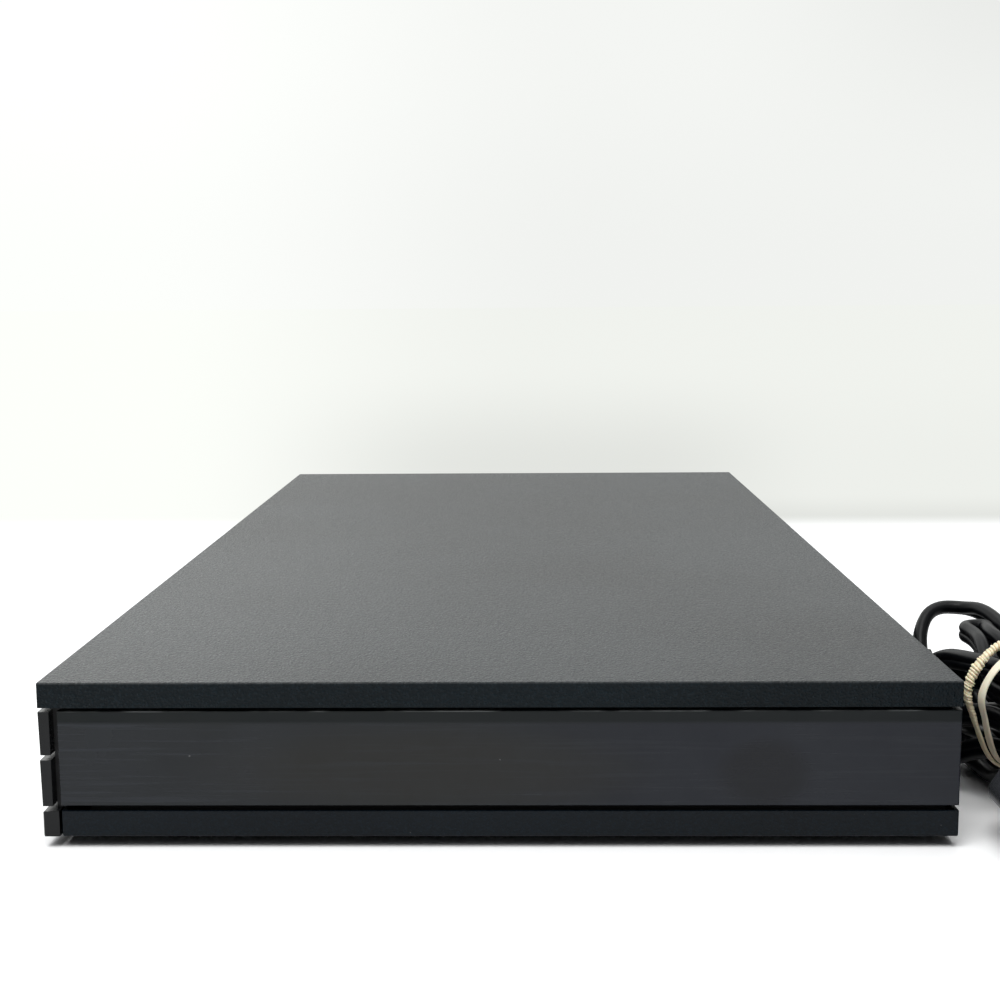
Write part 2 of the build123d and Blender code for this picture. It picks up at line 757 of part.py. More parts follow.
def loader_frame():
    """The plastic housing that guides the tray, carries the gears and holds the traverse's pivots."""
    long = (loader_front, loader_rear)
    high = (loader_bottom, loader_top)
    walls = [block(mirrored(side, loader_inner, loader_outer), long, high) for side in (-1, 1)]
    deck = block((-loader_inner, loader_inner), (loader_front, deck_rear), (deck_bottom, deck_top))
    back = block((-loader_inner, loader_inner), (loader_rear - 4.0, loader_rear), (loader_bottom, 22.0))
    ledges = [
        block(
            mirrored(s, loader_inner - ledge_width, loader_inner),
            (loader_front + 3.0, loader_rear - 1.0),
            (tray_bottom - ledge_clearance - 2.0, tray_bottom - ledge_clearance),
        )
        for s in (-1, 1)
    ]
    tabs = [
        block(
            mirrored(s, loader_inner - 3.0, loader_inner),
            around(y, 9.0),
            (tray_top + hold_down_clearance, loader_top),
        )
        for s in (-1, 1)
        for y in (gear_y - 7.0, disc_y + 36.0, loader_rear - 8.0)
    ]
    lug_z = (loader_bottom, loader_bottom + 2.0)
    lugs = [block(around(x, lug_length), around(y, lug_length), lug_z) for x, y in loader_lugs()]
    axle_z = (deck_top, gear_bottom + gear_thickness)
    axles = [post(x, gear_y, axle_z, axle_radius) for x in (tray_gear_x, pulley_gear_x)]
    ear_x = (traverse_half + pivot_gap, traverse_half + pivot_gap + pivot_length)
    ear_y = (traverse_pivot_y - 4.0, loader_rear - 4.0)
    ears = [block(mirrored(s, *ear_x), ear_y, (loader_bottom + 2.0, traverse_pivot_z + 4.0)) for s in (-1, 1)]
    rail_y = (deck_rear - 3.0, cam_y[1] + cam_clearance + 1.2)
    rail = block((-loader_inner, loader_inner), rail_y, (loader_bottom, rail_top))
    behind_cam = (cam_y[1] + cam_clearance, rail_y[1])
    rail += block((-loader_inner, loader_inner), behind_cam, (rail_top, rail_top + 1.5))
    rail += block((-loader_inner, loader_inner), (rail_y[0], deck_rear - 1.0), (rail_top, deck_bottom))
    body = fuse(walls + [deck, back, rail] + ledges + tabs + lugs + axles + ears)
    for x, y in loader_lugs():
        body -= post(x, y, (loader_bottom, loader_bottom + 2.0), board_screw_radius + 0.2)
    body -= post(loading_motor_x, gear_y, (deck_bottom, deck_top), 3.1)
    body -= bar_x((-ear_x[1], ear_x[1]), traverse_pivot_y, traverse_pivot_z, pivot_radius + pivot_clearance)
    return body


def disc_tray():
    """The drawer: a hollow deck with a recess for a disc, a slot that opens to the back and a rack."""
    outer = block((-tray_half, tray_half), (tray_front, tray_rear), (tray_bottom, tray_top))
    under = tray_top - recess_depth - tray_deck
    hollow = block(
        (-tray_half + tray_wall, tray_half - tray_wall),
        (tray_front + 2.5, tray_rear + 1.0),
        (tray_bottom - 1.0, under),
    )
    tray = outer - hollow
    recess_floor = tray_top - recess_depth
    tray -= post(0.0, disc_y, (recess_floor, tray_top), disc_radius + recess_clearance)
    small_recess = (recess_floor - small_recess_depth, recess_floor)
    tray -= post(0.0, disc_y, small_recess, small_disc_radius + recess_clearance)
    tray -= post(0.0, disc_y, (tray_bottom, tray_top), hub_opening)
    tray -= block((-slot_half, slot_half), (disc_y, tray_rear + 1.0), (tray_bottom, tray_top))
    return tray + tray_rack(under)


def tray_rack(under):
    """A straight rack whose teeth face +X; a gap between teeth stands opposite the gear's middle."""
    pitch = math.pi * gear_module
    half_tooth = (pitch / 2 - tooth_slack) / 2
    lean = math.tan(pressure_angle)
    tip, foot_line = rack_pitch_x + 0.9 * gear_module, rack_pitch_x - 1.2 * gear_module
    first = gear_y - 3.5 * pitch
    points = [(rack_pitch_x - rack_width, first - pitch)]
    points.append((foot_line, first - pitch))
    for k in range(rack_teeth):
        middle = first + k * pitch
        wide = half_tooth + lean * (rack_pitch_x - foot_line)
        narrow = half_tooth - lean * (tip - rack_pitch_x)
        points += [(foot_line, middle - wide), (tip, middle - narrow)]
        points += [(tip, middle + narrow), (foot_line, middle + wide)]
    last = first + rack_teeth * pitch
    points += [(foot_line, last), (rack_pitch_x - rack_width, last)]
    teeth = Pos(0, 0, gear_bottom - 0.2) * extrude(Polygon(*points, align=None), under - gear_bottom + 0.2)
    return teeth


def tray_lid():
    """The moving stretch of the upper slat, clipped to the front of the tray."""
    return leaning_slat((-lid_half, lid_half), (upper_slat_bottom, upper_slat_top), tray_front)


def traverse_frame():
    """The hinged frame in the loader: an open plate with blocks for the rods and pins at both ends."""
    x = (-traverse_half, traverse_half)
    plate = block(x, (traverse_front, traverse_rear), (traverse_bottom, traverse_top))
    ends = (pickup_front - end_gap, pickup_front + pickup_length + pickup_travel + end_gap)
    plate -= block(around(0.0, 2 * (rod_x + 5.0)), ends, (traverse_bottom, traverse_top))
    blocks = [
        block(x, y, (traverse_top, rod_z + 3.0))
        for x in ((screw_x - 2.5, 3.5 - rod_x), around(rod_x, 7.0))
        for y in ((ends[0] - end_block, ends[0]), (ends[1], ends[1] + end_block))
    ]
    reach = traverse_half + pivot_gap + pivot_length
    pins = [
        bar_x(mirrored(side, traverse_half, reach), traverse_pivot_y, traverse_pivot_z, pivot_radius)
        for side in (-1, 1)
    ]
    pins += [
        bar_y(x, (cam_y[0] + 0.2, traverse_front), traverse_pivot_z, lift_pin_radius)
        for x in (-lift_pin_x, lift_pin_x)
    ]
    frame = fuse([plate] + blocks + pins)
    for side in (-1, 1):
        rod_bore = (ends[0] - rod_seat, ends[1] + rod_seat)
        frame -= bar_y(side * rod_x, rod_bore, rod_z, rod_radius + rod_clearance)
    screw_bore = (ends[0] - end_block, ends[1] + end_block)
    frame -= bar_y(screw_x, screw_bore, screw_z, screw_radius + axle_clearance)
    return frame - post(0.0, disc_y, (traverse_bottom, traverse_top), 3.0)


def cam_slider():
    """The bar that lowers the traverse as it slides right: its sloping slots hold the front pins."""
    x = (-lift_pin_x - cam_travel - cam_end, lift_pin_x + cam_end)
    bar = block(x, cam_y, (cam_bottom, traverse_pivot_z + 4.5))
    wide = lift_pin_radius + cam_clearance
    run = math.hypot(cam_travel, lift_drop)
    upright = Plane(origin=(0, cam_y[0], 0), x_dir=(1, 0, 0), z_dir=(0, -1, 0))
    for x in (-lift_pin_x, lift_pin_x):
        middle = (x - cam_travel / 2, traverse_pivot_z - lift_drop / 2)
        slope = math.degrees(math.atan2(lift_drop, cam_travel))
        outline = Pos(*middle) * Rot(0, 0, slope) * SlotCenterToCenter(run, 2 * wide)
        bar -= extrude(upright * outline, -cam_thickness)
    return bar


def guide_rods():
    """The two ground rods that the pickup slides on."""
    reach = end_gap + rod_seat - rod_clearance
    y = (pickup_front - reach, pickup_front + pickup_length + pickup_travel + reach)
    return together([bar_y(side * rod_x, y, rod_z, rod_radius) for side in (-1, 1)])


def spindle_motor():
    """The fixed half of the disc motor, screwed to the traverse."""
    base = post(0.0, disc_y, (traverse_top, traverse_top + 1.5), spindle_can_radius + 2.0)
    stator = post(0.0, disc_y, (traverse_top + 1.5, traverse_top + 4.0), spindle_can_radius - 2.0)
    return base + stator - post(0.0, disc_y, (traverse_top, traverse_top + 4.0), 1.56)


def turntable():
    """The turning half: a can, the table that carries the disc, and a centring hub."""
    low = traverse_top + 4.4
    can = post(0.0, disc_y, (low, turntable_top - 4.0), spindle_can_radius)
    table = post(0.0, disc_y, (turntable_top - 4.0, turntable_top), turntable_radius)
    hub = Pos(0.0, disc_y, turntable_top + hub_height / 2) * Cone(hub_radius, hub_radius - 1.2, hub_height)
    shaft = post(0.0, disc_y, (traverse_top + 0.4, low), 1.5)
    pad = post(0.0, disc_y, (turntable_top - 0.4, turntable_top), turntable_radius - 0.8)
    pad -= post(0.0, disc_y, (turntable_top - 0.4, turntable_top), turntable_radius - 3.0)
    return can + table + hub + shaft - pad


def pickup():
    """The laser sled: a casting on the two rods, with the lens's carrier on top and a nut for the screw."""
    y = (pickup_front, pickup_front + pickup_length)
    body = block((-rod_x - 3.0, rod_x + 3.0), y, (rod_z - 3.0, rod_z + 3.0))
    body = chamfer(body.edges().filter_by(Axis.Y), 0.6)
    carrier = block((-9.0, 9.0), around(lens_y, 13.0), (rod_z + 3.0, 29.5))
    carrier = fillet(carrier.edges().filter_by(Axis.Z), 1.5)
    ring = post(0.0, lens_y, (29.5, 31.4), 4.0) - post(0.0, lens_y, (30.2, 31.4), 2.6)
    arm_y = around(pickup_front + pickup_length / 2, 8.0)
    arm = block((screw_x + 1.9, -rod_x - 2.9), arm_y, around(screw_z, 3.0))
    sled = body + carrier + ring + arm
    sled -= bar_y(-rod_x, (y[0] - 1.0, y[1] + 1.0), rod_z, rod_radius + rod_clearance)
    fork_x = (rod_x - rod_radius - rod_clearance, rod_x + 4.0)
    return sled - block(fork_x, (y[0] - 1.0, y[1] + 1.0), around(rod_z, 2 * (rod_radius + rod_clearance)))


def pickup_lens():
    """The small glass lens that looks at the disc."""
    dome = Pos(0.0, lens_y, 29.4) * Sphere(3.0)
    return (dome & post(0.0, lens_y, (30.25, 32.4), 2.55)) + post(0.0, lens_y, (30.2, 30.5), 2.55)


def feed_screw():
    """The pickup's drive screw: a shaft with one helical rib."""
    y = (pickup_front, pickup_front + pickup_length + pickup_travel)
    reach = end_gap + end_block
    shaft = bar_y(screw_x, (y[0] - reach, y[1] + reach), screw_z, screw_radius)
    turns = (y[1] - y[0] - thread_pitch) / thread_pitch
    rib_path = Helix(thread_pitch, turns * thread_pitch, screw_radius)
    rib_start = Plane(origin=rib_path @ 0, x_dir=(1, 0, 0), z_dir=rib_path % 0)
    rib = rib_start * Trapezoid(thread_foot, 2 * thread_depth, 60)
    thread = sweep(rib, rib_path, is_frenet=True)
    placed = Pos(screw_x, y[0] + thread_pitch / 2, screw_z) * Rot(-90, 0, 0) * thread
    return shaft + placed


def feed_motor():
    """The small flat-sided motor that turns the screw; one flat stands on the traverse."""
    front = pickup_front - end_gap - end_block - feed_motor_length
    y = (front, front + feed_motor_length)
    can = bar_y(screw_x, y, screw_z, feed_motor_radius)
    flats = block(around(screw_x, 3 * feed_motor_radius), y, around(screw_z, 2 * (screw_z - traverse_top)))
    return can & flats


def clamp_bridge():
    """The steel bridge over the tray that holds the clamp."""
    y = around(disc_y, 2 * bridge_half_length)
    top = block((-loader_outer - sheet, loader_outer + sheet), y, (bridge_bottom, bridge_bottom + sheet))
    legs = [block(mirrored(s, loader_outer, loader_outer + sheet), y, (24.0, bridge_bottom)) for s in (-1, 1)]
    bridge = top + legs
    bridge -= post(0.0, disc_y, (bridge_bottom - 1.0, bridge_bottom + 2.0), puck_radius + puck_hole_clearance)
    return bridge


def clamp_puck():
    """The magnetic clamp: it hangs in the bridge by its flange and turns with the disc."""
    flange_z = bridge_bottom + sheet + 0.2
    body = post(0.0, disc_y, (puck_bottom, flange_z), puck_radius)
    flange = post(0.0, disc_y, (flange_z, flange_z + 1.2), puck_radius + puck_flange)
    dimple = post(0.0, disc_y, (puck_bottom, turntable_top + hub_height + 0.4), hub_radius + 0.6)
    crown = post(0.0, disc_y, (flange_z + 0.7, flange_z + 1.2), puck_radius - 2.0)
    return body + flange - dimple - crown


def board(x, y):
    """A circuit board with its four screw holes."""
    plate = block(x, y, (board_bottom, board_top))
    for a, b in board_corners(x, y):
        plate -= post(a, b, (board_bottom, board_top), board_screw_radius + 0.15)
    return plate


def processor():
    """The main chip, with two memory chips beside it."""
    x, y = chip_place
    chips = [block(around(x, chip_size), around(y, chip_size), (board_top, board_top + chip_height))]
    for side in (-1, 1):
        chips.append(block(around(x + 32.0, 9.0), around(y + side * 9.0, 13.0), (board_top, board_top + 1.1)))
    return together(chips)


def heat_sink():
    """A finned aluminium block that sits on the main chip."""
    x, y = chip_place
    low = board_top + chip_height
    base = block(around(x, sink_size), around(y, sink_size), (low, low + 2.5))
    step = (sink_size - 2.5) / 9
    fin_z = (low + 2.5, low + sink_height)
    return base + [block(around(x + step * (i - 4.5), 1.4), around(y, sink_size), fin_z) for i in range(10)]


def capacitors():
    """The cans on both boards: small ones in rows, and the power supply's large one."""
    y = main_board_y[0]
    cans = [(main_board_x[1] - 20.0, y + 10.0 + 12.0 * i, 11.0, 4.0) for i in range(3)]
    cans += [(main_board_x[0] + 16.0, y + 16.0 + 12.0 * i, 8.0, 3.2) for i in range(2)]
    y = power_board_y[0]
    cans += [(power_board_x[0] + 24.0, y + 34.0 + 14.0 * i, 18.0, 5.0) for i in range(3)]
    cans.append((power_board_x[1] - 16.0, transformer_place[1], 26.0, main_capacitor_radius))
    return together([post(a, b, (board_top, board_top + height), radius) for a, b, height, radius in cans])


def transformer():
    """The power supply's transformer: a wound bobbin in a ferrite core."""
    x, y = transformer_place
    wide, long, high = transformer_size
    plate = 6.0
    core = block(around(x, wide), around(y, long), (board_top, board_top + plate))
    core += block(around(x, wide), around(y, long), (board_top + high - plate, board_top + high))
    leg = 5.0
    for side in (-1, 1):
        leg_y = y + side * (long - leg) / 2
        core += block(around(x, wide), around(leg_y, leg), (board_top, board_top + high))
    return core + post(x, y, (board_top + plate, board_top + high - plate), 9.5)


def power_cooler():
    """The bent aluminium plate that cools the switching transistor."""
    sheet_y = (cooler_y, cooler_y + 2.0)
    wall = block(cooler_x, sheet_y, (board_top, board_top + cooler_height))
    cooler_top = board_top + cooler_height
    return wall + block(cooler_x, (cooler_y, cooler_y + 8.0), (cooler_top - 2.0, cooler_top))


def rear_panel():
    """The steel back: sockets, vents and the lead's hole are cut in it; a flange stands on the pan."""
    plate = block((-frame_inner, frame_inner), (rear_inner, rear_face), (pan_floor, cover_under))
    flange_x = (frame_flange - frame_inner, frame_inner - frame_flange)
    plate += block(flange_x, (rear_inner - 4.0, rear_inner), (pan_floor, pan_floor + sheet))
    through = (rear_inner - 1.0, rear_face + 1.0)
    holes = []
    for x in hdmi_xs:
        holes.append(socket_hole(x, hdmi_size, through))
    holes += [socket_hole(lan_x, lan_size, through), socket_hole(optical_x, optical_size, through)]
    holes += [block(around(x, rear_vent_width), through, rear_vent_z) for x in rear_vent_xs]
    holes.append(bar_y(lead_exit_x, through, lead_exit_z, relief_hole_radius))
    holes += [cover_screw(x, screw_clearance) for x in cover_screw_xs]
    return plate - holes


def socket_hole(x, size, through):
    """The cut-out for a socket that stands on the main board."""
    return block(
        around(x, size[0] + 2 * socket_clearance),
        through,
        (board_top - socket_clearance, board_top + size[1] + socket_clearance),
    )


def socket_body(x, size, length):
    """The outside of a socket that stands on the main board and looks through the back."""
    mouth_y = rear_face + socket_proud
    return block(around(x, size[0]), (mouth_y - length, mouth_y), (board_top, board_top + size[1]))


def hdmi_ports():
    """Two video sockets: folded shells with a slim tongue and bevelled lower corners."""
    made = []
    mouth_y = rear_face + socket_proud
    for x in hdmi_xs:
        middle = board_top + hdmi_size[1] / 2
        half_w, half_h = hdmi_mouth[0] / 2, hdmi_mouth[1] / 2
        outline = [
            (x - half_w, middle + half_h), (x + half_w, middle + half_h), (x + half_w, middle - 0.4),
            (x + half_w - 1.8, middle - half_h),
            (x - half_w + 1.8, middle - half_h),
            (x - half_w, middle - 0.4),
        ]
        upright = Plane(origin=(0, mouth_y, 0), x_dir=(1, 0, 0), z_dir=(0, -1, 0))
        mouth = extrude(upright * Polygon(*outline, align=None), hdmi_depth - 2.0, dir=(0, -1, 0))
        tongue_y = (mouth_y - hdmi_depth + 2.0, mouth_y - 1.0)
        tongue = block(around(x, 10.5), tongue_y, around(middle + 0.3, 1.0))
        made.append(socket_body(x, hdmi_size, hdmi_depth) - mouth + tongue)
    return together(made)


def lan_jack():
    """The network socket: a stepped mouth with eight contacts."""
    mouth_y = rear_face + socket_proud
    middle = board_top + 2.4 + lan_mouth[1] / 2
    body = socket_body(lan_x, lan_size, lan_depth)
    body -= block(around(lan_x, lan_mouth[0]), (mouth_y - 13.0, mouth_y), around(middle, lan_mouth[1]))
    low, high = around(middle, lan_mouth[1])
    body -= block(around(lan_x, 6.0), (mouth_y - 13.0, mouth_y), (high - 0.01, high + 1.4))
    contact_y = (mouth_y - 13.0, mouth_y - 4.0)
    contact_xs = [lan_x + 1.02 * (i - 3.5) for i in range(8)]
    return body + [block(around(x, 0.4), contact_y, (low, low + 0.8)) for x in contact_xs]


def optical_jack():
    """The optical audio socket with its closed shutter."""
    mouth_y = rear_face + socket_proud
    middle = board_top + optical_size[1] / 2
    body = socket_body(optical_x, optical_size, optical_depth)
    return body - block(around(optical_x, 6.4), (mouth_y - 1.2, mouth_y), around(middle, 6.4))


def drive_ribbon():
    """The flat cable from the main board to the back of the loader."""
    z = board_top + 5.0
    start_x, end_x = main_board_x[1] - 8.0, -loader_outer - 0.05
    y = (loader_rear - 30.0, loader_rear - 8.0)
    run = block((start_x - 2.0, end_x), y, (z, z + 0.3))
    return run + block((start_x - 5.0, start_x - 1.0), (y[0] - 1.5, y[1] + 1.5), (board_top, z + 1.0))


def round_lead(points, radius):
    """A tube along straight runs joined by arcs as large as the runs allow, after its path's radii."""
    radii = []
    for before, corner, after in zip(points, points[1:], points[2:]):
        shorter = min(math.dist(before, corner), math.dist(corner, after))
        turn = (Vector(*corner) - Vector(*before)).get_angle(Vector(*after) - Vector(*corner))
        radii.append(0.45 * shorter / math.tan(math.radians(turn) / 2))
    path = FilletPolyline(*points, radius=radii)
    return radii, sweep(Plane(path @ 0, z_dir=path % 0) * Circle(radius), path), path.length


def power_harness():
    """Three insulated wires between the boards, low behind the loader, with a connector on each."""
    high, low = board_top + 3.5, pan_floor + 2.4
    wires = []
    for i in range(3):
        y = harness_y + 3.2 * i
        points = [
            (harness_x - 3.0, y, high), (harness_x - 15.0, y + 0.4, high), (30.0, y + 2.0, low),
            (-30.0, y + 1.0, low), (15.0 - harness_x, y + 0.4, high), (3.0 - harness_x, y, high),
        ]
        wires.append(round_lead(points, 0.9)[1])
    end_y = (harness_y - 2.0, harness_y + 9.0)
    ends = [block(around(side * harness_x, 6.0), end_y, (board_top, board_top + 5.5)) for side in (-1, 1)]
    return together(wires + ends)


def case_screws():
    """The screws of the boards, the loader and the feet."""
    corners = board_corners(main_board_x, main_board_y) + board_corners(power_board_x, power_board_y)
    screws = [screw_down(x, y, board_top, board_thickness + 4.0) for x, y in corners]
    screws += [screw_down(x, y, loader_bottom + 2.0, 4.0) for x, y in loader_lugs()]
    screws += [screw_up(x, y, foot_hole_depth, foot_height - foot_hole_depth + 2.5) for x, y in foot_places()]
    return together(screws)


def strain_relief():
    """The rubber sleeve that holds the lead in the back: a flange each side of the sheet and a taper."""
    neck_y = (rear_inner - 2.0, rear_face + 2.0)
    neck = bar_y(lead_exit_x, neck_y, lead_exit_z, relief_hole_radius - relief_clearance)
    inside = bar_y(lead_exit_x, (rear_inner - 2.0, rear_inner), lead_exit_z, relief_radius)
    outside = bar_y(lead_exit_x, (rear_face, rear_face + 2.0), lead_exit_z, relief_radius)
    taper_length = relief_length - 2.0
    taper = Pos(lead_exit_x, rear_face + 2.0 + taper_length / 2, lead_exit_z) * Rot(-90, 0, 0) * Cone(
        relief_radius - 1.4, relief_tip_radius, taper_length
    )
    body = neck + inside + outside + taper
    for i in range(5):
        y = around(rear_face + 5.0 + 3.2 * i, 1.3)
        groove = bar_y(lead_exit_x, y, lead_exit_z, relief_radius)
        body -= groove - bar_y(lead_exit_x, y, lead_exit_z, lead_radius + 0.4)
    return body


def by_corner(x, y, z):
    """A place measured from the body's right back corner."""
    return (half_width + x, half_depth + y, z)


lead_exit = (lead_exit_x, rear_face + relief_length, lead_exit_z)
hank_start = by_corner(-49.0, 43.0, 43.0)
lead_route = [
    lead_exit,
    (lead_exit_x, half_depth + 38.5, lead_exit_z),
    by_corner(-106.0, 55.0, 24.0),
    by_corner(-93.0, 65.0, 30.0),
    by_corner(-76.0, 64.0, 36.5),
    by_corner(-61.5, 52.5, 41.6),
    hank_start,
]

# Three far ends that leave the row: the top turn stands up as an arch, the second folds into a stub
# and the last folds down to the floor.
arch = [
    (by_corner(-43.0, 10.2, 39.6), (-1.0, -0.17, -0.05)),
    (by_corner(-63.5, 6.0, 37.4), (-0.66, 0.0, 0.75)),
    (by_corner(-71.5, 16.0, 46.2), (0.15, 1.0, 0.0)),
    (by_corner(-56.0, 26.0, 44.4), (0.9, 0.25, -0.35)),
]
stub = [
    (by_corner(-42.0, 13.8, 34.6), (-1.0, 0.1, 0.0)),
    (by_corner(-54.5, 16.0, 40.2), (0.0, 0.15, 1.0)),
    (by_corner(-45.0, 18.4, 46.2), (1.0, 0.3, -0.1)),
]
tail = [
    (by_corner(-47.0, 19.0, 15.4), (-1.0, 0.0, -0.25)),
    (by_corner(-57.5, 18.8, 9.6), (0.0, 0.0, -1.0)),
    (by_corner(-48.0, 19.4, 4.0), (1.0, 0.0, 0.05)),
]
special_ends = {0: arch, 1: stub, hank_turns - 1: tail}


def hank_slot(turn):
    """A turn's layer, counted from the lowest, and whether it lies wide in it. Turn 0 is the top one."""
    return (hank_turns - 1 - turn) // 2, turn % 4 < 2


def waist_place(side, turn):
    """Where a turn passes the waist, on the back side (+1) or the front side (-1)."""
    layer, wide = hank_slot(turn)
    half = side * (waist_wide if wide else waist_narrow)
    z = hank_z + (layer - 1.5) * waist_step
    return (hank_x - half * math.sin(hank_lean), hank_y + half * math.cos(hank_lean), z)


def near_end(turn):
    """A turn's round end over the plug."""
    layer, wide = hank_slot(turn)
    radius = near_wide if wide else near_narrow
    z = near_low + layer * near_step
    return [
        ((near_x, near_y + radius, z), (1, 0, 0)),
        ((near_x + radius, near_y, z), (0, -1, 0)),
        ((near_x, near_y - radius, z), (-1, 0, 0)),
    ]


def far_end(turn):
    """A turn's round end on the floor behind the body, which passes on to the next turn's slot."""
    layer, wide = hank_slot(turn)
    next_layer, next_wide = hank_slot(turn + 1)
    first = far_wide if wide else far_narrow
    second = far_wide if next_wide else far_narrow
    rest = lead_radius + floor_gap
    z, next_z = rest + layer * far_step, rest + next_layer * far_step
    tip = (far_x - (first + second) / 2, far_y + (second - first) / 2, (z + next_z) / 2)
    return [
        ((far_x, far_y - first, z), (-1, 0, 0)),
        (tip, (0, 1, 0)),
        ((far_x, far_y + second, next_z), (1, 0, 0)),
    ]


def hank_stations():
    """The hank's course, from its top turn down into the plug, as places with their directions."""
    along = (math.cos(hank_lean), math.sin(hank_lean), 0.0)
    back = (-along[0], -along[1], 0.0)
    last_run = Vector(*hank_start) - Vector(*lead_route[-2])
    stations = [(hank_start, tuple(last_run.normalized()))]
    for turn in range(hank_turns):
        stations += [(waist_place(1, turn), along)] + near_end(turn) + [(waist_place(-1, turn), back)]
        stations += special_ends[turn] if turn in special_ends else far_end(turn)
    return stations + [(plug_entry, (1, 0, 0))]


def arc_from(start, way, end):
    """The arc that leaves a place in a direction and ends at another place, with its radius."""
    chord = end - start
    ahead = chord.dot(way)
    aside = chord - way * ahead
    if aside.length < 1e-6:
        return Line(start, end), math.inf
    radius = chord.dot(chord) / (2 * aside.length)
    centre = start + aside.normalized() * radius
    middle = (start + end) * 0.5 - centre
    middle = middle.normalized() * (radius if ahead > 0 else -radius)
    return ThreePointArc(start, centre + middle, end), radius


def biarc_course(stations):
    """One smooth wire of two arcs between each pair of stations, and the radii of its arcs."""
    edges, radii = [], []
    for (start, start_way), (end, end_way) in zip(stations, stations[1:]):
        start, end = Vector(*start), Vector(*end)
        start_way, end_way = Vector(*start_way).normalized(), Vector(*end_way).normalized()
        span = end - start
        a, b, c = 2 * (1 - start_way.dot(end_way)), 2 * span.dot(start_way + end_way), span.dot(span)
        reach = c / b if a < 1e-9 else (math.sqrt(b * b + 4 * a * c) - b) / (2 * a)
        joint = (start + start_way * reach + end - end_way * reach) * 0.5
        first, radius_one = arc_from(start, start_way, joint)
        back, radius_two = arc_from(end, end_way * -1, joint)
        second = Line(joint, end) if math.isinf(radius_two) else ThreePointArc(joint, back @ 0.5, end)
        edges += [first, second]
        radii += [radius_one, radius_two]
    return Wire(edges), radii


def least_gap(path, radius, apart=16.0):
    """The least space between a tube's surface and itself, but for what lies close by along it."""
    count = int(path.length / 1.5)
    points = [path @ (i / count) for i in range(count + 1)]
    skip = int(apart / path.length * count)
    nearest = min(
        (points[i] - points[j]).length
        for i in range(count)
        for j in range(i + skip, count + 1)
        if abs(points[i].X - points[j].X) < 3 * radius and abs(points[i].Z - points[j].Z) < 3 * radius
    )
    return nearest - 2 * radius


def cord_hank(path):
    """The tied turns of the lead, one unbroken tube."""
    return sweep(Plane(path @ 0, z_dir=path % 0) * Circle(lead_radius), path)


def rubber_band(place, clearance, size):
    """A rubber band round the hank's waist: a ring square to the hank, at a place along it."""
    wide, thick = size
    radius = waist_reach + clearance
    along = (math.cos(hank_lean), math.sin(hank_lean), 0.0)
    low = place - wide / 2
    ring_plane = Plane(origin=(hank_x + low * along[0], hank_y + low * along[1], hank_z), z_dir=along)
    return extrude(ring_plane * (Circle(radius + thick) - Circle(radius)), wide, dir=along)


def power_plug():
    """A flat moulded plug with two blades and a short tapered neck, rolled over on one long edge."""
    broad_way = (0, math.cos(plug_roll), -math.sin(plug_roll))
    entry = Plane(origin=plug_entry, x_dir=broad_way, z_dir=(1, 0, 0))
    shoulder = Plane(origin=plug_shoulder, x_dir=broad_way, z_dir=(1, 0, 0))
    length, across, high = plug_size
    outline = shoulder * RectangleRounded(across, high, plug_round)
    body = extrude(outline, length, dir=(1, 0, 0))
    body = fillet(body.edges().group_by(Axis.X)[-1], 1.2)
    neck_start = entry * RectangleRounded(plug_neck_width, plug_neck_width, 1.5)
    plug = body + loft([neck_start, outline], ruled=True)
    for side in (-1, 1):
        blade_start = shoulder.offset(length - 1.0) * Pos(side * blade_gap / 2, 0)
        foot = blade_start * Rectangle(blade_size[1], blade_size[2])
        plug += extrude(foot, blade_size[0] + 1.0, dir=(1, 0, 0))
    return plug


os.makedirs("parts", exist_ok=True)

save("top_cover", top_cover())
save("base_pan", base_pan())
save("rear_panel", rear_panel())
for side, word in ((-1, "left"), (1, "right")):
    save(f"side_frame_{word}", side_frame(side))
    save(f"side_panel_{word}", side_panel(side))
    save(f"upper_slat_{word}", upper_slat(side))
save("feet", together([foot(x, y) for x, y in foot_places()]))
save("lower_slat_left", lower_slat((-slat_half, usb_x - usb_door_half - seam)))
save("lower_slat_right", lower_slat((usb_x + usb_door_half + seam, slat_half)))
save("usb_door", usb_door())
save("front_lip", front_lip())
save("front_bezel", front_bezel())
save("power_button", front_button(power_button_x))
save("eject_button", front_button(eject_button_x))
save("front_window", front_window())
save("front_board", front_board())
save("front_switches", front_switches())
save("usb_port", usb_port())
save("loader_frame", loader_frame())
save("disc_tray", disc_tray())
save("tray_lid", tray_lid())
save("tray_gear", tray_gear())
save("pulley_gear", pulley_gear())
save("motor_pulley", motor_pulley())
save("drive_belt", drive_belt())
save("loading_motor", loading_motor())
save("traverse_frame", traverse_frame())
save("cam_slider", cam_slider())
save("guide_rods", guide_rods())
save("spindle_motor", spindle_motor())
save("turntable", turntable())
save("pickup", pickup())
save("pickup_lens", pickup_lens())
save("feed_screw", feed_screw())
save("feed_motor", feed_motor())
save("clamp_bridge", clamp_bridge())
save("clamp_puck", clamp_puck())
save("main_board", board(main_board_x, main_board_y))
save("power_board", board(power_board_x, power_board_y))
save("processor", processor())
save("heat_sink", heat_sink())
save("capacitors", capacitors())
save("transformer", transformer())
save("power_cooler", power_cooler())
save("hdmi_ports", hdmi_ports())
save("lan_jack", lan_jack())
save("optical_jack", optical_jack())
save("drive_ribbon", drive_ribbon())
save("power_harness", power_harness())
save("cover_screws", together([cover_screw(x) for x in cover_screw_xs]))
save("case_screws", case_screws())
save("strain_relief", strain_relief())
lead_radii, lead_tube, lead_length = round_lead(lead_route, lead_radius)
print("lead: length", round(lead_length, 1), "radii", [round(r, 1) for r in lead_radii])
print("lead: volume", round(lead_tube.volume, 1))
print("lead: section times length", round(math.pi * lead_radius**2 * lead_length, 1))
save("cord_lead", lead_tube)
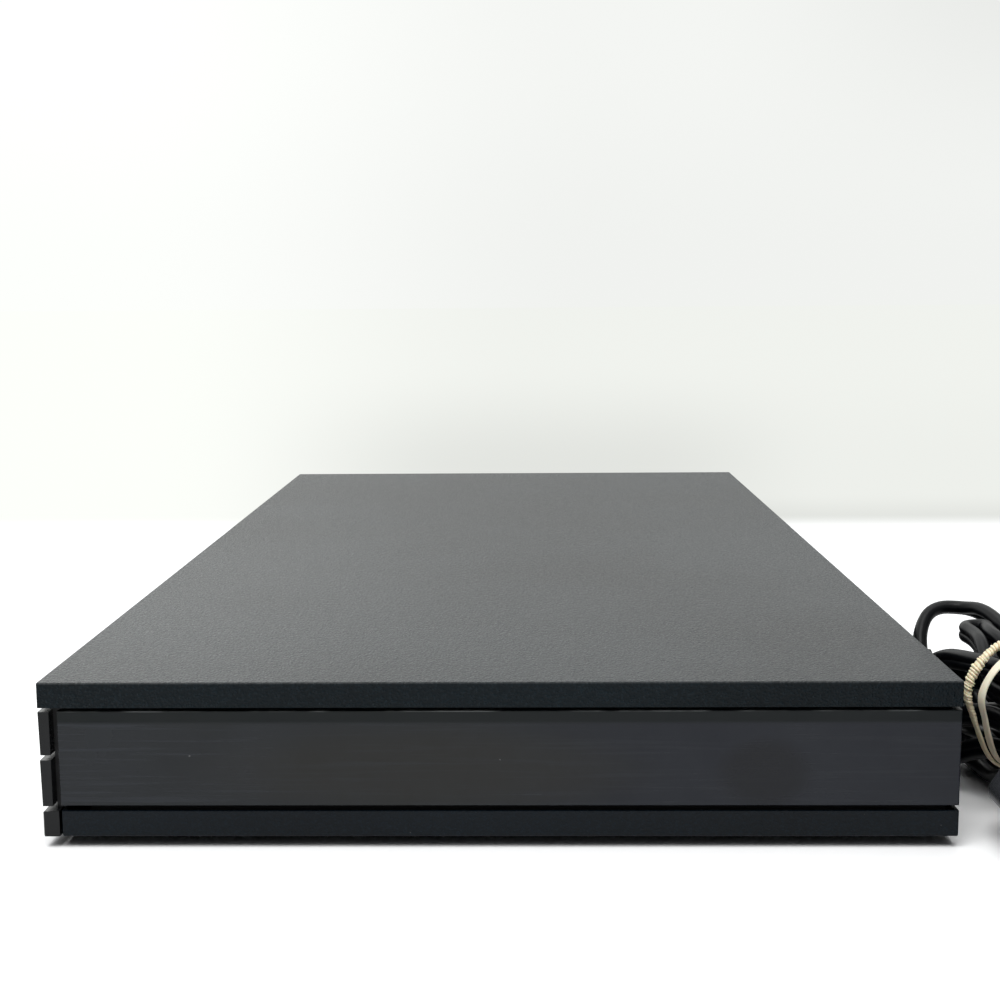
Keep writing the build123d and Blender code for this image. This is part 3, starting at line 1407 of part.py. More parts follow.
hank_path, hank_radii = biarc_course(hank_stations())
print("hank: length", round(hank_path.length, 1), "least radius", round(min(hank_radii), 1))
print("hank: least gap to itself", round(least_gap(hank_path, lead_radius), 2))
save("cord_hank", cord_hank(hank_path))
save("twisted_band", rubber_band(twisted_band_place, twisted_band_clearance, twisted_band_size))
save("flat_band", rubber_band(flat_band_place, flat_band_clearance, flat_band_size))
save("power_plug", power_plug())
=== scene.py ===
"""The look of the disc player: its camera and light, the tied mains lead with its rubber bands, and the
finish of every part.

Places are in metres in the part's own frame: X to the right as seen from the front, Y to the back, Z up.
"""
import math

import bpy
import numpy as np
from mathutils import Matrix, Vector


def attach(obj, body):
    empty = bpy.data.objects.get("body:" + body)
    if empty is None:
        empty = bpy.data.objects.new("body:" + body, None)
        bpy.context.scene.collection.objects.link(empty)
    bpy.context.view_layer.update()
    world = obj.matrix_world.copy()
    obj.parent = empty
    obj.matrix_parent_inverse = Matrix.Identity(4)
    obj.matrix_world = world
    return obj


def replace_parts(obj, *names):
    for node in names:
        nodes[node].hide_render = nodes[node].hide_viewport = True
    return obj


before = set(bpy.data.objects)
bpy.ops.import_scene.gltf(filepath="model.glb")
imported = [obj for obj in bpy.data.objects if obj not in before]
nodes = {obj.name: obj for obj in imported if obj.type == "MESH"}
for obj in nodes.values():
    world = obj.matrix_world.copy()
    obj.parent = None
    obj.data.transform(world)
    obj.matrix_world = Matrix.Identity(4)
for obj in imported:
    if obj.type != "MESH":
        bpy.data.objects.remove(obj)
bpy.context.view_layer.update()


# Camera
def stand_camera(place, down, aside, roll, lens):
    """Stands the camera at a place. It looks along -X, tipped down, turned aside and rolled, in radians."""
    level_part = math.cos(down)
    forward = np.array([-level_part * math.cos(aside), level_part * math.sin(aside), -math.sin(down)])
    level = np.array([math.sin(aside), math.cos(aside), 0.0])
    above = np.cross(level, forward)
    right = math.cos(roll) * level + math.sin(roll) * above
    up = -math.sin(roll) * level + math.cos(roll) * above
    data = bpy.data.cameras.new("camera")
    data.lens = lens
    data.clip_start, data.clip_end = 0.01, 100.0
    camera = bpy.data.objects.new("camera", data)
    bpy.context.scene.collection.objects.link(camera)
    turned = Matrix([list(right), list(up), list(-forward)]).transposed().to_4x4()
    camera.matrix_world = Matrix.Translation(Vector(place)) @ turned
    bpy.context.scene.camera = camera


stand_camera((0.5712451, 0.008138, 0.1381635), down=0.1386, aside=-0.0199, roll=-0.0072, lens=53.27)


# Shapes worked out on grids
def unit(way):
    """The direction of length one, for one vector or for rows of them."""
    way = np.asarray(way, float)
    return way / np.linalg.norm(way, axis=-1, keepdims=True)


def add_piece(name, points, faces, body="housing", smooth=True):
    """Makes a mesh object of points and faces that rides on a body."""
    mesh = bpy.data.meshes.new(name)
    mesh.from_pydata(points.tolist(), [], faces)
    mesh.polygons.foreach_set("use_smooth", np.full(len(mesh.polygons), smooth))
    mesh.update()
    piece = bpy.data.objects.new(name, mesh)
    bpy.context.scene.collection.objects.link(piece)
    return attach(piece, body)


def grid_faces(rows, columns, closed_rows=False):
    """The quads of a grid whose columns run round. Closed rows are joined from the last to the first."""
    row = np.arange(rows if closed_rows else rows - 1)[:, None]
    column = np.arange(columns)[None, :]
    next_row, next_column = (row + 1) % rows, (column + 1) % columns
    corners = [row * columns + column, row * columns + next_column]
    corners += [next_row * columns + next_column, next_row * columns + column]
    return np.stack(corners, -1).reshape(-1, 4)


def sweep(name, path, broad, outline, closed=False):
    """Carries an outline along a path.

    path has one point a row and broad one direction a row. The outline's first coordinate is laid along the
    part of broad that is square to the path, its second along the path's direction crossed with that. An
    outline for each row, rows x points x 2, changes along the path.
    """
    if closed:
        ahead = unit(np.roll(path, -1, 0) - np.roll(path, 1, 0))
    else:
        ahead = unit(np.gradient(path, axis=0))
    across = unit(broad - np.sum(broad * ahead, 1)[:, None] * ahead)
    over = np.cross(ahead, across)
    outline = np.broadcast_to(outline, (len(path),) + outline.shape[-2:])
    points = path[:, None] + outline[..., :1] * across[:, None] + outline[..., 1:] * over[:, None]
    count = outline.shape[1]
    faces = grid_faces(len(path), count, closed).tolist()
    if not closed:
        faces += [list(range(count))[::-1], list(range((len(path) - 1) * count, len(path) * count))]
    return add_piece(name, points.reshape(-1, 3), faces)


# The mains lead: where it leaves the back, and the stations of its tied hank
UP = (0.0, 0.0, 1.0)
lead_route = [
    (0.104, 0.137, 0.020), (0.104, 0.1535, 0.020), (0.109, 0.170, 0.024), (0.122, 0.180, 0.030),
    (0.139, 0.179, 0.0365), (0.1535, 0.1675, 0.0416), (0.166, 0.158, 0.043),
]
# The turns lie side by side in layers 0 to 3, counted from the lowest, about the middle one
hank_turns, middle_layer = 7, 1.5
hank_middle = np.array([0.190, 0.1399, 0.0302])
hank_lean = math.radians(14.0)
along = np.array([math.cos(hank_lean), math.sin(hank_lean), 0.0])
square = np.array([-math.sin(hank_lean), math.cos(hank_lean), 0.0])
# At the waist: how far the wide and the narrow runs are from its middle, and the height of a layer. The
# runs under its middle lie looser by the slack and lean back by the lean.
waist_wide, waist_narrow, waist_step = 0.0086, 0.0027, 0.0061
waist_slack, waist_lean = 1.5, 0.30
# At the round ends: their middle, the wide and the narrow radius, the lowest layer and a layer's height
near_x, near_y, near_wide, near_narrow, near_low, near_step = 0.224, 0.1485, 0.0136, 0.0075, 0.0265, 0.0059
far_x, far_y, far_wide, far_narrow, far_low, far_step = 0.150, 0.1328, 0.0142, 0.0073, 0.0031, 0.0138
plug_entry = (0.196, 0.136, 0.0094)
plug_roll = math.radians(32.0)
plug_broad = (0.0, math.cos(plug_roll), -math.sin(plug_roll))

# A station is a place, the direction of the lead there, and the way its broad side faces along
arch = [
    ((0.172, 0.1256, 0.0376), (-1.0, -0.25, -0.16), UP),
    ((0.1515, 0.121, 0.0350), (-0.66, 0.0, 0.75), (1.0, 0.0, 0.9)),
    ((0.1435, 0.131, 0.0462), (0.15, 1.0, 0.0), (1.0, -0.15, 0.35)),
    ((0.159, 0.141, 0.0444), (0.9, 0.25, -0.35), (0.35, -0.3, 0.85)),
]
stub = [
    ((0.1700, 0.1316, 0.0424), (-1.0, 0.05, 0.10), UP),
    ((0.1595, 0.1337, 0.0432), (0.0, 1.0, 0.05), UP),
    ((0.1700, 0.1357, 0.0432), (1.0, 0.15, -0.10), UP),
]
tail = [
    ((0.162, 0.1338, 0.0148), (-1.0, 0.0, -0.20), (0.0, 1.0, 0.0)),
    ((0.1490, 0.1350, 0.0088), (0.0, 0.05, -1.0), (0.0, 1.0, 0.0)),
    ((0.161, 0.1374, 0.0031), (1.0, 0.10, 0.0), (0.0, 1.0, 0.0)),
]
special_ends = {0: arch, 1: stub, hank_turns - 1: tail}


def hank_slot(turn):
    """A turn's layer, counted from the lowest, and whether it lies wide in it. Turn 0 is the top one."""
    return (hank_turns - 1 - turn) // 2, turn % 4 < 2


def waist_station(side, turn):
    """Where a turn passes the waist. Under the waist's middle the layers lie looser and lean back."""
    layer, wide = hank_slot(turn)
    height = (layer - middle_layer) * waist_step
    loose = waist_slack * min(height, 0.0)
    half = side * (waist_wide if wide else waist_narrow) - waist_lean * loose
    place = hank_middle + half * square + (0.0, 0.0, max(height, 0.0) + loose)
    return place, side * along, UP


def near_end(turn):
    """A turn's round end over the plug: three quarter points of a level half circle."""
    layer, wide = hank_slot(turn)
    radius = near_wide if wide else near_narrow
    z = near_low + layer * near_step
    return [
        ((near_x, near_y + radius, z), (1, 0, 0), UP),
        ((near_x + radius, near_y, z), (0, -1, 0), UP),
        ((near_x, near_y - radius, z), (-1, 0, 0), UP),
    ]


def far_end(turn):
    """A turn's round end behind the body: half a circle that ends on the next turn's radius and layer."""
    layer, wide = hank_slot(turn)
    next_layer, next_wide = hank_slot(turn + 1)
    first = far_wide if wide else far_narrow
    second = far_wide if next_wide else far_narrow
    z, next_z = far_low + layer * far_step, far_low + next_layer * far_step
    tip = (far_x - (first + second) / 2, far_y + (second - first) / 2, (z + next_z) / 2)
    return [
        ((far_x, far_y - first, z), (-1, 0, 0), UP),
        (tip, (0, 1, 0), UP),
        ((far_x, far_y + second, next_z), (1, 0, 0), UP),
    ]


def hank_stations():
    """The hank's course from its top turn down into the plug."""
    last_run = np.subtract(lead_route[-1], lead_route[-2])
    stations = [(lead_route[-1], last_run, UP)]
    for turn in range(hank_turns):
        stations += [waist_station(1, turn)] + near_end(turn) + [waist_station(-1, turn)]
        stations += special_ends[turn] if turn in special_ends else far_end(turn)
    return stations + [(plug_entry, (1, 0, 0), plug_broad)]


def hank_controls(stations):
    """Two control points for each pair of stations, and the broad directions there.

    Each lies ahead of or behind its station by the reach r at which both are as far apart as twice r:
    |p1 - p0 - r (t0 + t1)| = 2 r.
    """
    places, ways, sides = (np.array([s[i] for s in stations], float) for i in range(3))
    ways = unit(ways)
    span = places[1:] - places[:-1]
    a = 2 * (1 - np.sum(ways[1:] * ways[:-1], 1))
    b = 2 * np.sum(span * (ways[1:] + ways[:-1]), 1)
    c = np.sum(span * span, 1)
    reach = 2 * c / (b + np.sqrt(b * b + 4 * a * c))
    points = np.stack([places[:-1] + ways[:-1] * reach[:, None], places[1:] - ways[1:] * reach[:, None]], 1)
    return points.reshape(-1, 3), np.stack([sides[:-1], sides[1:]], 1).reshape(-1, 3)


def lead_line():
    """The lead's line as one open spline, read as points, with the direction of its broad side at each."""
    winding, sides = hank_controls(hank_stations())
    controls = np.vstack([lead_route, winding, [plug_entry]])
    route_sides = [(1.0, 0.0, 0.0), (1.0, 0.0, 0.1)] + [UP] * (len(lead_route) - 2)
    sides = np.vstack([route_sides, sides, [plug_broad]])
    data = bpy.data.curves.new("lead_line", "CURVE")
    data.dimensions = "3D"
    data.resolution_u = 8
    spline = data.splines.new("NURBS")
    spline.points.add(len(controls) - 1)
    spline.points.foreach_set("co", np.hstack([controls, np.ones((len(controls), 1))]).ravel())
    spline.order_u = 3
    spline.use_endpoint_u = True
    line = bpy.data.objects.new("lead_line", data)
    mesh = bpy.data.meshes.new_from_object(line)
    points = np.empty(3 * len(mesh.vertices))
    mesh.vertices.foreach_get("co", points)
    bpy.data.objects.remove(line)
    bpy.data.meshes.remove(mesh)
    points = points.reshape(-1, 3)
    spans = len(controls) - 2
    middles = np.clip(np.arange(len(controls)) - 0.5, 0, spans)
    steps = np.linspace(0, spans, len(points))
    broad = np.stack([np.interp(steps, middles, sides[:, i]) for i in range(3)], 1)
    return points, broad


def twin_outline(core, apart, count):
    """Two round cores side by side: r = a |cos t| + sqrt(c^2 - a^2 sin^2 t).

    c is the radius of a core, and a is how far its centre lies to each side.
    """
    t = np.arange(count) * 2 * np.pi / count
    r = apart * np.abs(np.cos(t)) + np.sqrt(core**2 - (apart * np.sin(t)) ** 2)
    return np.stack([r * np.cos(t), r * np.sin(t)], 1)


core_radius, core_apart = 0.00185, 0.00105
lead_points, lead_broad = lead_line()
mains_lead = sweep("mains_lead", lead_points, lead_broad, twin_outline(core_radius, core_apart, 40))
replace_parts(mains_lead, "cord_lead", "cord_hank")


# The rubber bands round the hank's waist: where each is along it and its ring's radius, the ring's height
# under its middle against that radius, and how its side toward the player leans back
twisted_place, twisted_radius = -0.0035, 0.01708
flat_place, flat_radius = 0.0025, 0.01609
ring_height, ring_squareness = 1.08, 6
side_lean, lean_start, lean_turn = 0.37, 0.0032, 0.0022
oval_power = 0.77


def ring_angles(count):
    """Angles round the waist: 0 behind, a quarter turn on top, half a turn on the player's side."""
    return np.arange(count) * 2 * np.pi / count


def ring_path(place, radius, count):
    """A ring square to the hank, at a place along it.

    Over its middle it is a circle of radius r. Under it, it is the rounder square |b/r|^6 + |u/h|^6 = 1
    with h = 1.08 r, and its side toward the player is pushed back by side_lean of how far it lies under
    lean_start, with a soft turn there: (d + sqrt(d^2 + w^2)) / 2 in place of the depth d, where w is
    lean_turn.
    """
    t = ring_angles(count)
    c, s = np.cos(t), np.sin(t)
    sides = np.abs(c / radius) ** ring_squareness + np.abs(s / (ring_height * radius)) ** ring_squareness
    reach = radius + (sides ** (-1 / ring_squareness) - radius) * np.clip(-4 * s, 0, 1)
    back, up = reach * c, reach * s
    under = lean_start - up
    back = back + side_lean / 2 * (under + np.sqrt(under**2 + lean_turn**2)) * np.clip(-2 * c, 0, 1)
    return hank_middle + np.outer(place * np.ones(count), along) + np.outer(back, square) + np.outer(up, UP)


def bump(angles, middle, width):
    """1 at a middle angle, smoothly down to 0 at half a width each side: (1 + cos) / 2."""
    away = np.abs((angles - middle + np.pi) % (2 * np.pi) - np.pi)
    return np.where(away < width / 2, (1 + np.cos(2 * np.pi * away / width)) / 2, 0.0)


def oval(wide, thick, count):
    """An outline of a flattened round, |x/a|^2.6 + |y/b|^2.6 = 1: cos and sin to the power 2 / 2.6."""
    t = np.arange(count) * 2 * np.pi / count
    x, y = np.cos(t), np.sin(t)
    x, y = (np.sign(v) * np.abs(v) ** oval_power for v in (x, y))
    return np.stack([wide / 2 * x, thick / 2 * y], 1)


def note_creases(piece, depth):
    """Keeps how deep each point lies in a crease, from 0 to 1, with the mesh."""
    held = piece.data.attributes.new("crease", "FLOAT", "POINT")
    held.data.foreach_set("value", depth.ravel().astype(np.float32))


def make_twisted_band():
    """A strip wound tightly on itself over the waist and lying plain under it.

    Its outline is an oval scaled by 1 - d c + g |sin p|. c = (1 - |sin p|)^2 is deep in the creases, d is
    crease_depth, and g is how far each fold stands out. p grows by a fold every 0.85 mm along the ring and
    leans round the outline.
    """
    rows, columns, folds = 1800, 24, 124
    reach_spread, crease_depth = 0.13, 0.26
    wound_wide, wound_thick = 0.0031, 0.0019
    plain_narrower, plain_thinner = 0.0006, 0.0011
    t = ring_angles(rows)
    plain = bump(t, 1.36 * np.pi, 0.95 * np.pi).clip(0, 0.5) * 2
    around = np.arange(columns) * 2 * np.pi / columns
    lean = around[None, :] + 0.6 * np.sin(7 * t)[:, None]
    phase = (folds / 2 * t + 0.8 * np.sin(11 * t) + 0.5 * np.sin(29 * t))[:, None] + lean
    reaches = np.random.default_rng(11).normal(0.0, reach_spread, folds)
    stands_out = reaches[(phase // np.pi).astype(int) % folds]
    fold = np.abs(np.sin(phase))
    wound = (1 - plain)[:, None]
    crease = (1 - fold) ** 2 * wound
    swell = 1 + 0.07 * np.sin(5 * t + 1.0) + 0.05 * np.sin(23 * t)
    wide = (wound_wide - plain_narrower * plain) * swell
    thick = wound_thick - plain_thinner * plain
    full_oval = oval(2.0, 2.0, columns)
    outline = np.stack([wide[:, None] / 2 * full_oval[:, 0], thick[:, None] / 2 * full_oval[:, 1]], -1)
    outline = outline * (1 - crease_depth * crease + stands_out * fold * wound)[..., None]
    drawn_aside = 0.0009 * bump(t, 1.4 * np.pi, 0.9 * np.pi)
    path = ring_path(twisted_place, twisted_radius, rows) + np.outer(drawn_aside, along)
    band = sweep("band_twisted", path, np.broadcast_to(along, path.shape), outline, True)
    note_creases(band, crease)
    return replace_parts(band, "twisted_band")


def make_flat_band():
    """A flat strip round the waist, a little wavy, drawn to the twisted one low on the player's side."""
    rows, columns = 480, 20
    wide, thick = 0.0030, 0.0008
    t = ring_angles(rows)
    near_twisted = bump(t, 1.35 * np.pi, 1.2 * np.pi)
    near_top = bump(t, 0.42 * np.pi, 0.6 * np.pi)
    aside = 0.0002 * np.sin(4 * t + 0.6) - 0.0027 * near_twisted - 0.0022 * near_top
    path = ring_path(flat_place, flat_radius, rows) + aside[:, None] * along
    path += np.outer(0.0004 * near_twisted, -square)
    outline = oval(wide, thick, columns) * (1 + 0.05 * np.sin(9 * t))[:, None, None]
    band = sweep("band_flat", path, np.broadcast_to(along, path.shape), outline, True)
    note_creases(band, np.zeros((rows, columns)))
    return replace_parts(band, "flat_band")


twisted_band = make_twisted_band()
flat_band = make_flat_band()


# Finishes
class Shade:
    """A value in a finish's node tree that takes part in arithmetic as a number does."""

    def __init__(self, tree, socket):
        self.tree, self.socket = tree, socket

    def make(self, kind, output, inputs=None, **settings):
        """Adds a node with its settings and inputs, and gives one of its outputs."""
        node = self.tree.nodes.new(kind)
        for name, value in settings.items():
            setattr(node, name, value)
        for name, value in (inputs or {}).items():
            if isinstance(value, Shade):
                self.tree.links.new(value.socket, node.inputs[name])
            else:
                node.inputs[name].default_value = value
        return Shade(self.tree, node.outputs[output])

    def math(self, operation, *values):
        return self.make("ShaderNodeMath", 0, dict(enumerate(values)), operation=operation)

    def __add__(self, other):
        return self.math("ADD", self, other)

    def __sub__(self, other):
        return self.math("SUBTRACT", self, other)

    def __rsub__(self, other):
        return self.math("SUBTRACT", other, self)

    def __mul__(self, other):
        return self.math("MULTIPLY", self, other)

    def __truediv__(self, other):
        return self.math("DIVIDE", self, other)

    def __rtruediv__(self, other):
        return self.math("DIVIDE", other, self)

    __radd__ = __add__
    __rmul__ = __mul__

    def at_most(self, other):
        return self.math("MINIMUM", self, other)

    def at_least(self, other):
        return self.math("MAXIMUM", self, other)

    def between(self, low, high, first=0.0, last=1.0):
        """Rises smoothly from first to last as the value goes from low to high."""
        inputs = {"Value": self, "From Min": low, "From Max": high, "To Min": first, "To Max": last}
        return self.make("ShaderNodeMapRange", "Result", inputs, interpolation_type="SMOOTHSTEP")

    def tint(self, first, last):
        """A colour from first to last as the value goes from 0 to 1."""
        inputs = {0: self, 6: first if isinstance(first, Shade) else (*first, 1.0)}
        inputs[7] = last if isinstance(last, Shade) else (*last, 1.0)
        return self.make("ShaderNodeMix", 2, inputs, data_type="RGBA")

    def stretched(self, x, y, z, aside=(0.0, 0.0, 0.0)):
        """The places scaled along each axis."""
        return self.make("ShaderNodeMapping", 0, {"Vector": self, "Scale": (x, y, z), "Location": aside})

    def noise(self, scale, detail=2.0, rough=0.5, distortion=0.0):
        inputs = {"Vector": self, "Scale": scale, "Detail": detail, "Roughness": rough}
        return self.make("ShaderNodeTexNoise", "Fac", {**inputs, "Distortion": distortion})

    def cells(self, scale):
        return self.make("ShaderNodeTexVoronoi", "Distance", {"Vector": self, "Scale": scale})

    def axis(self, name):
        return self.make("ShaderNodeSeparateXYZ", name, {0: self})


def open_finish(name):
    """A new material, and the places on the piece that wears it."""
    material = bpy.data.materials.new(name)
    material.use_nodes = True
    material.node_tree.nodes.clear()
    start = Shade(material.node_tree, None)
    return material, start.make("ShaderNodeTexCoord", "Object")


def close_finish(material, colour, roughness, height=None, depth=0.0, steady=None):
    """Joins colour, roughness and relief to the surface. steady holds the values that don't vary."""
    start = Shade(material.node_tree, None)
    inputs = {"Base Color": colour if isinstance(colour, Shade) else (*colour, 1.0), "Roughness": roughness}
    inputs.update(steady or {})
    if height is not None:
        relief = {"Height": height, "Distance": depth, "Strength": 1.0}
        inputs["Normal"] = start.make("ShaderNodeBump", "Normal", relief)
    surface = start.make("ShaderNodeBsdfPrincipled", "BSDF", inputs)
    join_output(surface)
    return material


def join_output(surface, kind="ShaderNodeOutputMaterial"):
    """Ends a node tree with its surface."""
    output = surface.tree.nodes.new(kind)
    surface.tree.links.new(surface.socket, output.inputs["Surface"])


def pebbled_paint(name, colour, grain, depth, roughness, gloss, painted_sheen=0.0):
    """Textured paint: rounded grains, painted shade in the hollows between, and a few pale specks of dust.
    The last argument is how pale a painted sheen on the lid's flat top is, stronger to its right and front.
    """
    material, places = open_finish(name)
    grains = places.cells(grain).between(0.0, 0.75, 1.0, 0.0)
    coarse = places.noise(grain * 0.45, 3.0, 0.6)
    fine = places.noise(grain * 2.4, 2.0, 0.5)
    height = grains * 0.45 + coarse * 0.8 + fine * 0.25
    cloudy = places.noise(9.0, 3.0, 0.55).between(0.3, 0.7)
    # Darker where the relief is low: painted shade in the hollows between grains, over soft clouds of tone.
    shade = cloudy * 0.35 + height.between(0.5, 1.1) * 0.65
    dust = places.noise(620.0, 1.0, 0.4).between(0.80, 0.84)
    dark = tuple(0.45 * c for c in colour)
    light = tuple(1.6 * c for c in colour)
    tone = (dust * 0.35).tint(shade.tint(dark, light), (0.30, 0.31, 0.30))
    # A pale film on the lid's top, stronger toward its right and front: a painted sheen.
    if painted_sheen:
        toward_right = places.axis("X").between(-0.22, 0.16, 0.15, 1.0)
        toward_front = places.axis("Y").between(-0.12, 0.02, 1.3, 0.9)
        on_top = places.axis("Z").between(0.0424, 0.0428)
        sheen_film = on_top * (toward_right * toward_front) * (0.7 + cloudy * 0.3 + grains * 0.3)
        tone = (sheen_film * painted_sheen).tint(tone, (1.0, 1.0, 0.99))
    rough = places.noise(grain, 2.0, 0.5).between(0.2, 0.8, roughness - 0.08, roughness + 0.10)
    return close_finish(material, tone, rough, height, depth, {"Specular IOR Level": gloss})


def patch(first, second, inner, outer):
    """1 inside an ellipse and 0 outside, from two distances that are 1 on its rim, squared and added."""
    return (first * first + second * second).between(inner, outer, 1.0, 0.0)


def scuffed_panel(name):
    """Satin moulded plastic that has been handled.

    It has faint level scuffs, denser toward the front, a painted dark reflection along its top, a painted
    highlight along its upper edge, a warm patch, a smudge and pale specks.
    """
    material, places = open_finish(name)
    y, z = places.axis("Y"), places.axis("Z")
    scuffs = places.stretched(1.0, 7.0, 260.0).noise(3.0, 5.0, 0.62, 0.3).between(0.52, 0.66)
    hairs = places.stretched(1.0, 12.0, 900.0).noise(2.0, 2.0, 0.5).between(0.60, 0.68)
    toward_front = y.between(-0.112, -0.045, 1.0, 0.30)
    mottled = places.noise(26.0, 4.0, 0.6).between(0.3, 0.7)
    rubbed = scuffs * toward_front * 0.80 + hairs * toward_front * 0.40 + mottled * 0.40
    # A darker band along the top: a painted reflection.
    dark_reflection_band = z.between(0.0318, 0.0330)
    # A broken bright line along the upper edge: a painted highlight.
    edge_highlight = places.stretched(0.0, 1.0, 0.0).noise(38.0, 3.0, 0.6).between(0.44, 0.62)
    specks = places.noise(900.0, 1.0, 0.3).between(0.83, 0.86)
    warm = patch((y + 0.020) / 0.058, (z - 0.020) / 0.012, 0.1, 1.3)
    smudge = patch((y - 0.0665) / 0.013, (z - 0.0195) / 0.010, 0.25, 1.1)
    ground = y.between(-0.02, 0.05).tint((0.0095, 0.0118, 0.0140), (0.0070, 0.0090, 0.0155))
    ground = (warm * 0.8).tint(ground, (0.0150, 0.0145, 0.0125))
    tone = rubbed.tint(ground, (0.0240, 0.0275, 0.0335))
    tone = (dark_reflection_band * 0.9).tint(tone, (0.0008, 0.0030, 0.0032))
    tone = (z.between(0.03518, 0.03534) * edge_highlight).tint(tone, (0.16, 0.17, 0.17))
    tone = (specks * 0.5).tint(tone, (0.22, 0.22, 0.22))
    tone = (smudge * 0.55).tint(tone, (0.0046, 0.0046, 0.0056))
    rough = mottled * 0.08 + rubbed * 0.22 + smudge * 0.06 + dark_reflection_band * 0.25 + 0.13
    height = places.noise(160.0, 3.0, 0.5) + scuffs * 0.3
    return close_finish(material, tone, rough, height, 0.00002, {"Specular IOR Level": 0.27})


def moulded(name, colour, roughness, grain=900.0, depth=0.00004, change=0.18, steady=None):
    """Plain moulded plastic or rubber: fine grain, soft clouds in its tone and its gloss."""
    material, places = open_finish(name)
    cloudy = places.noise(35.0, 3.0, 0.55).between(0.3, 0.7)
    height = places.noise(grain, 3.0, 0.6)
    dark = tuple(c * (1 - change) for c in colour)
    light = tuple(c * (1 + change) for c in colour)
    tone = (cloudy * 0.7 + height * 0.3).tint(dark, light)
    rough = height * 0.08 + cloudy * 0.05 + (roughness - 0.065)
    return close_finish(material, tone, rough, height, depth, steady)


def worked_metal(name, colour, roughness, streaks=(1.0, 1.0, 1.0), scale=500.0, spangle=0.0):
    """Bare or plated metal: drawn streaks, and crystals of zinc where spangle is above nothing."""
    material, places = open_finish(name)
    drawn = places.stretched(*streaks).noise(scale, 4.0, 0.6)
    crystals = places.cells(170.0).between(0.1, 0.9)
    cloudy = places.noise(18.0, 3.0, 0.5)
    shade = drawn * 0.5 + cloudy * 0.5 + crystals * spangle
    tone = shade.between(0.25, 0.95).tint(tuple(c * 0.8 for c in colour), colour)
    rough = drawn * 0.16 + crystals * (0.12 * spangle) + (roughness - 0.08)
    return close_finish(material, tone, rough, drawn, 0.00002, {"Metallic": 1.0})


def circuit_board(name, ground, track, gloss=0.32):
    """Lacquered laminate: tracks in two directions, round pads on a grid, and a faint weave."""
    material, places = open_finish(name)
    across = places.stretched(1.0, 0.12, 1.0).cells(420.0).between(0.30, 0.36)
    length = places.stretched(0.12, 1.0, 1.0).cells(420.0).between(0.30, 0.36)
    which = places.noise(55.0, 1.0, 0.4).between(0.48, 0.52)
    tracks = across * which + length * (1.0 - which)
    pads = places.stretched(1.0, 1.0, 0.0).cells(300.0).between(0.12, 0.17, 1.0, 0.0)
    tone = (pads * 0.7).tint(tracks.tint(ground, track), (0.55, 0.52, 0.46))
    height = tracks * 0.4 + pads * 0.6 + places.noise(1500.0, 2.0, 0.5) * 0.15
    return close_finish(material, tone, 0.30 + tracks * 0.08, height, 0.00005, {"Coat Weight": gloss})


def flat_lead_rubber():
    """Satin black rubber of the lead, with a fine grain and a soft bloom."""
    material, places = open_finish("lead_rubber")
    bloom = places.noise(60.0, 4.0, 0.6).between(0.35, 0.7)
    grain = places.noise(1400.0, 3.0, 0.6)
    tone = (bloom * 0.7 + grain * 0.3).tint((0.0008, 0.0010, 0.0016), (0.0030, 0.0034, 0.0048))
    rough = bloom * 0.10 + grain * 0.06 + 0.27
    relief = grain * 0.7 + bloom * 0.3
    return close_finish(material, tone, rough, relief, 0.00004, {"Specular IOR Level": 0.15})


def band_rubber(name, pale, deep, crease):
    """Natural rubber that lets a little light in: cream, with tan painted shade in its creases and toward
    its foot.
    """
    material, places = open_finish(name)
    folds = places.make("ShaderNodeAttribute", "Fac", attribute_name="crease")
    # Tan toward the foot, where the band lies in shade: painted shade.
    low = places.axis("Z").between(0.014, 0.036, 1.0, 0.0)
    # Tan in the creases: painted shade.
    creases = (places.noise(crease, 3.0, 0.6).between(0.40, 0.75) * 0.35 + folds * 0.9).at_most(1.0)
    dirt = places.noise(230.0, 3.0, 0.6).between(0.52, 0.75)
    # Faint dirt and the painted shade toward the foot share one tan.
    tone = (dirt * 0.20 + low * 0.45).tint(creases.tint(pale, deep), (0.55, 0.40, 0.24))
    glow = {"Subsurface Weight": 0.15, "Subsurface Scale": 0.0008}
    return close_finish(material, tone, 0.48 + creases * 0.12, creases, 0.00010, glow)


def smoked_window():
    """Smoked clear plastic, polished, with fine wiping marks."""
    material, places = open_finish("window_smoke")
    wiped = places.stretched(3.0, 1.0, 40.0).noise(12.0, 3.0, 0.6).between(0.4, 0.7)
    tone = wiped.tint((0.010, 0.007, 0.008), (0.020, 0.014, 0.015))
    rough = 0.05 + wiped * 0.07
    return close_finish(material, tone, rough, places.noise(300.0), 0.000005, {"Coat Weight": 1.0})


def lens_glass():
    """The pickup's coated lens: a blue-violet sheen over a dark bore."""
    material, places = open_finish("lens_glass")
    tone = places.noise(800.0, 2.0, 0.5).tint((0.08, 0.07, 0.22), (0.20, 0.26, 0.50))
    return close_finish(material, tone, 0.05, steady={"Coat Weight": 1.0})


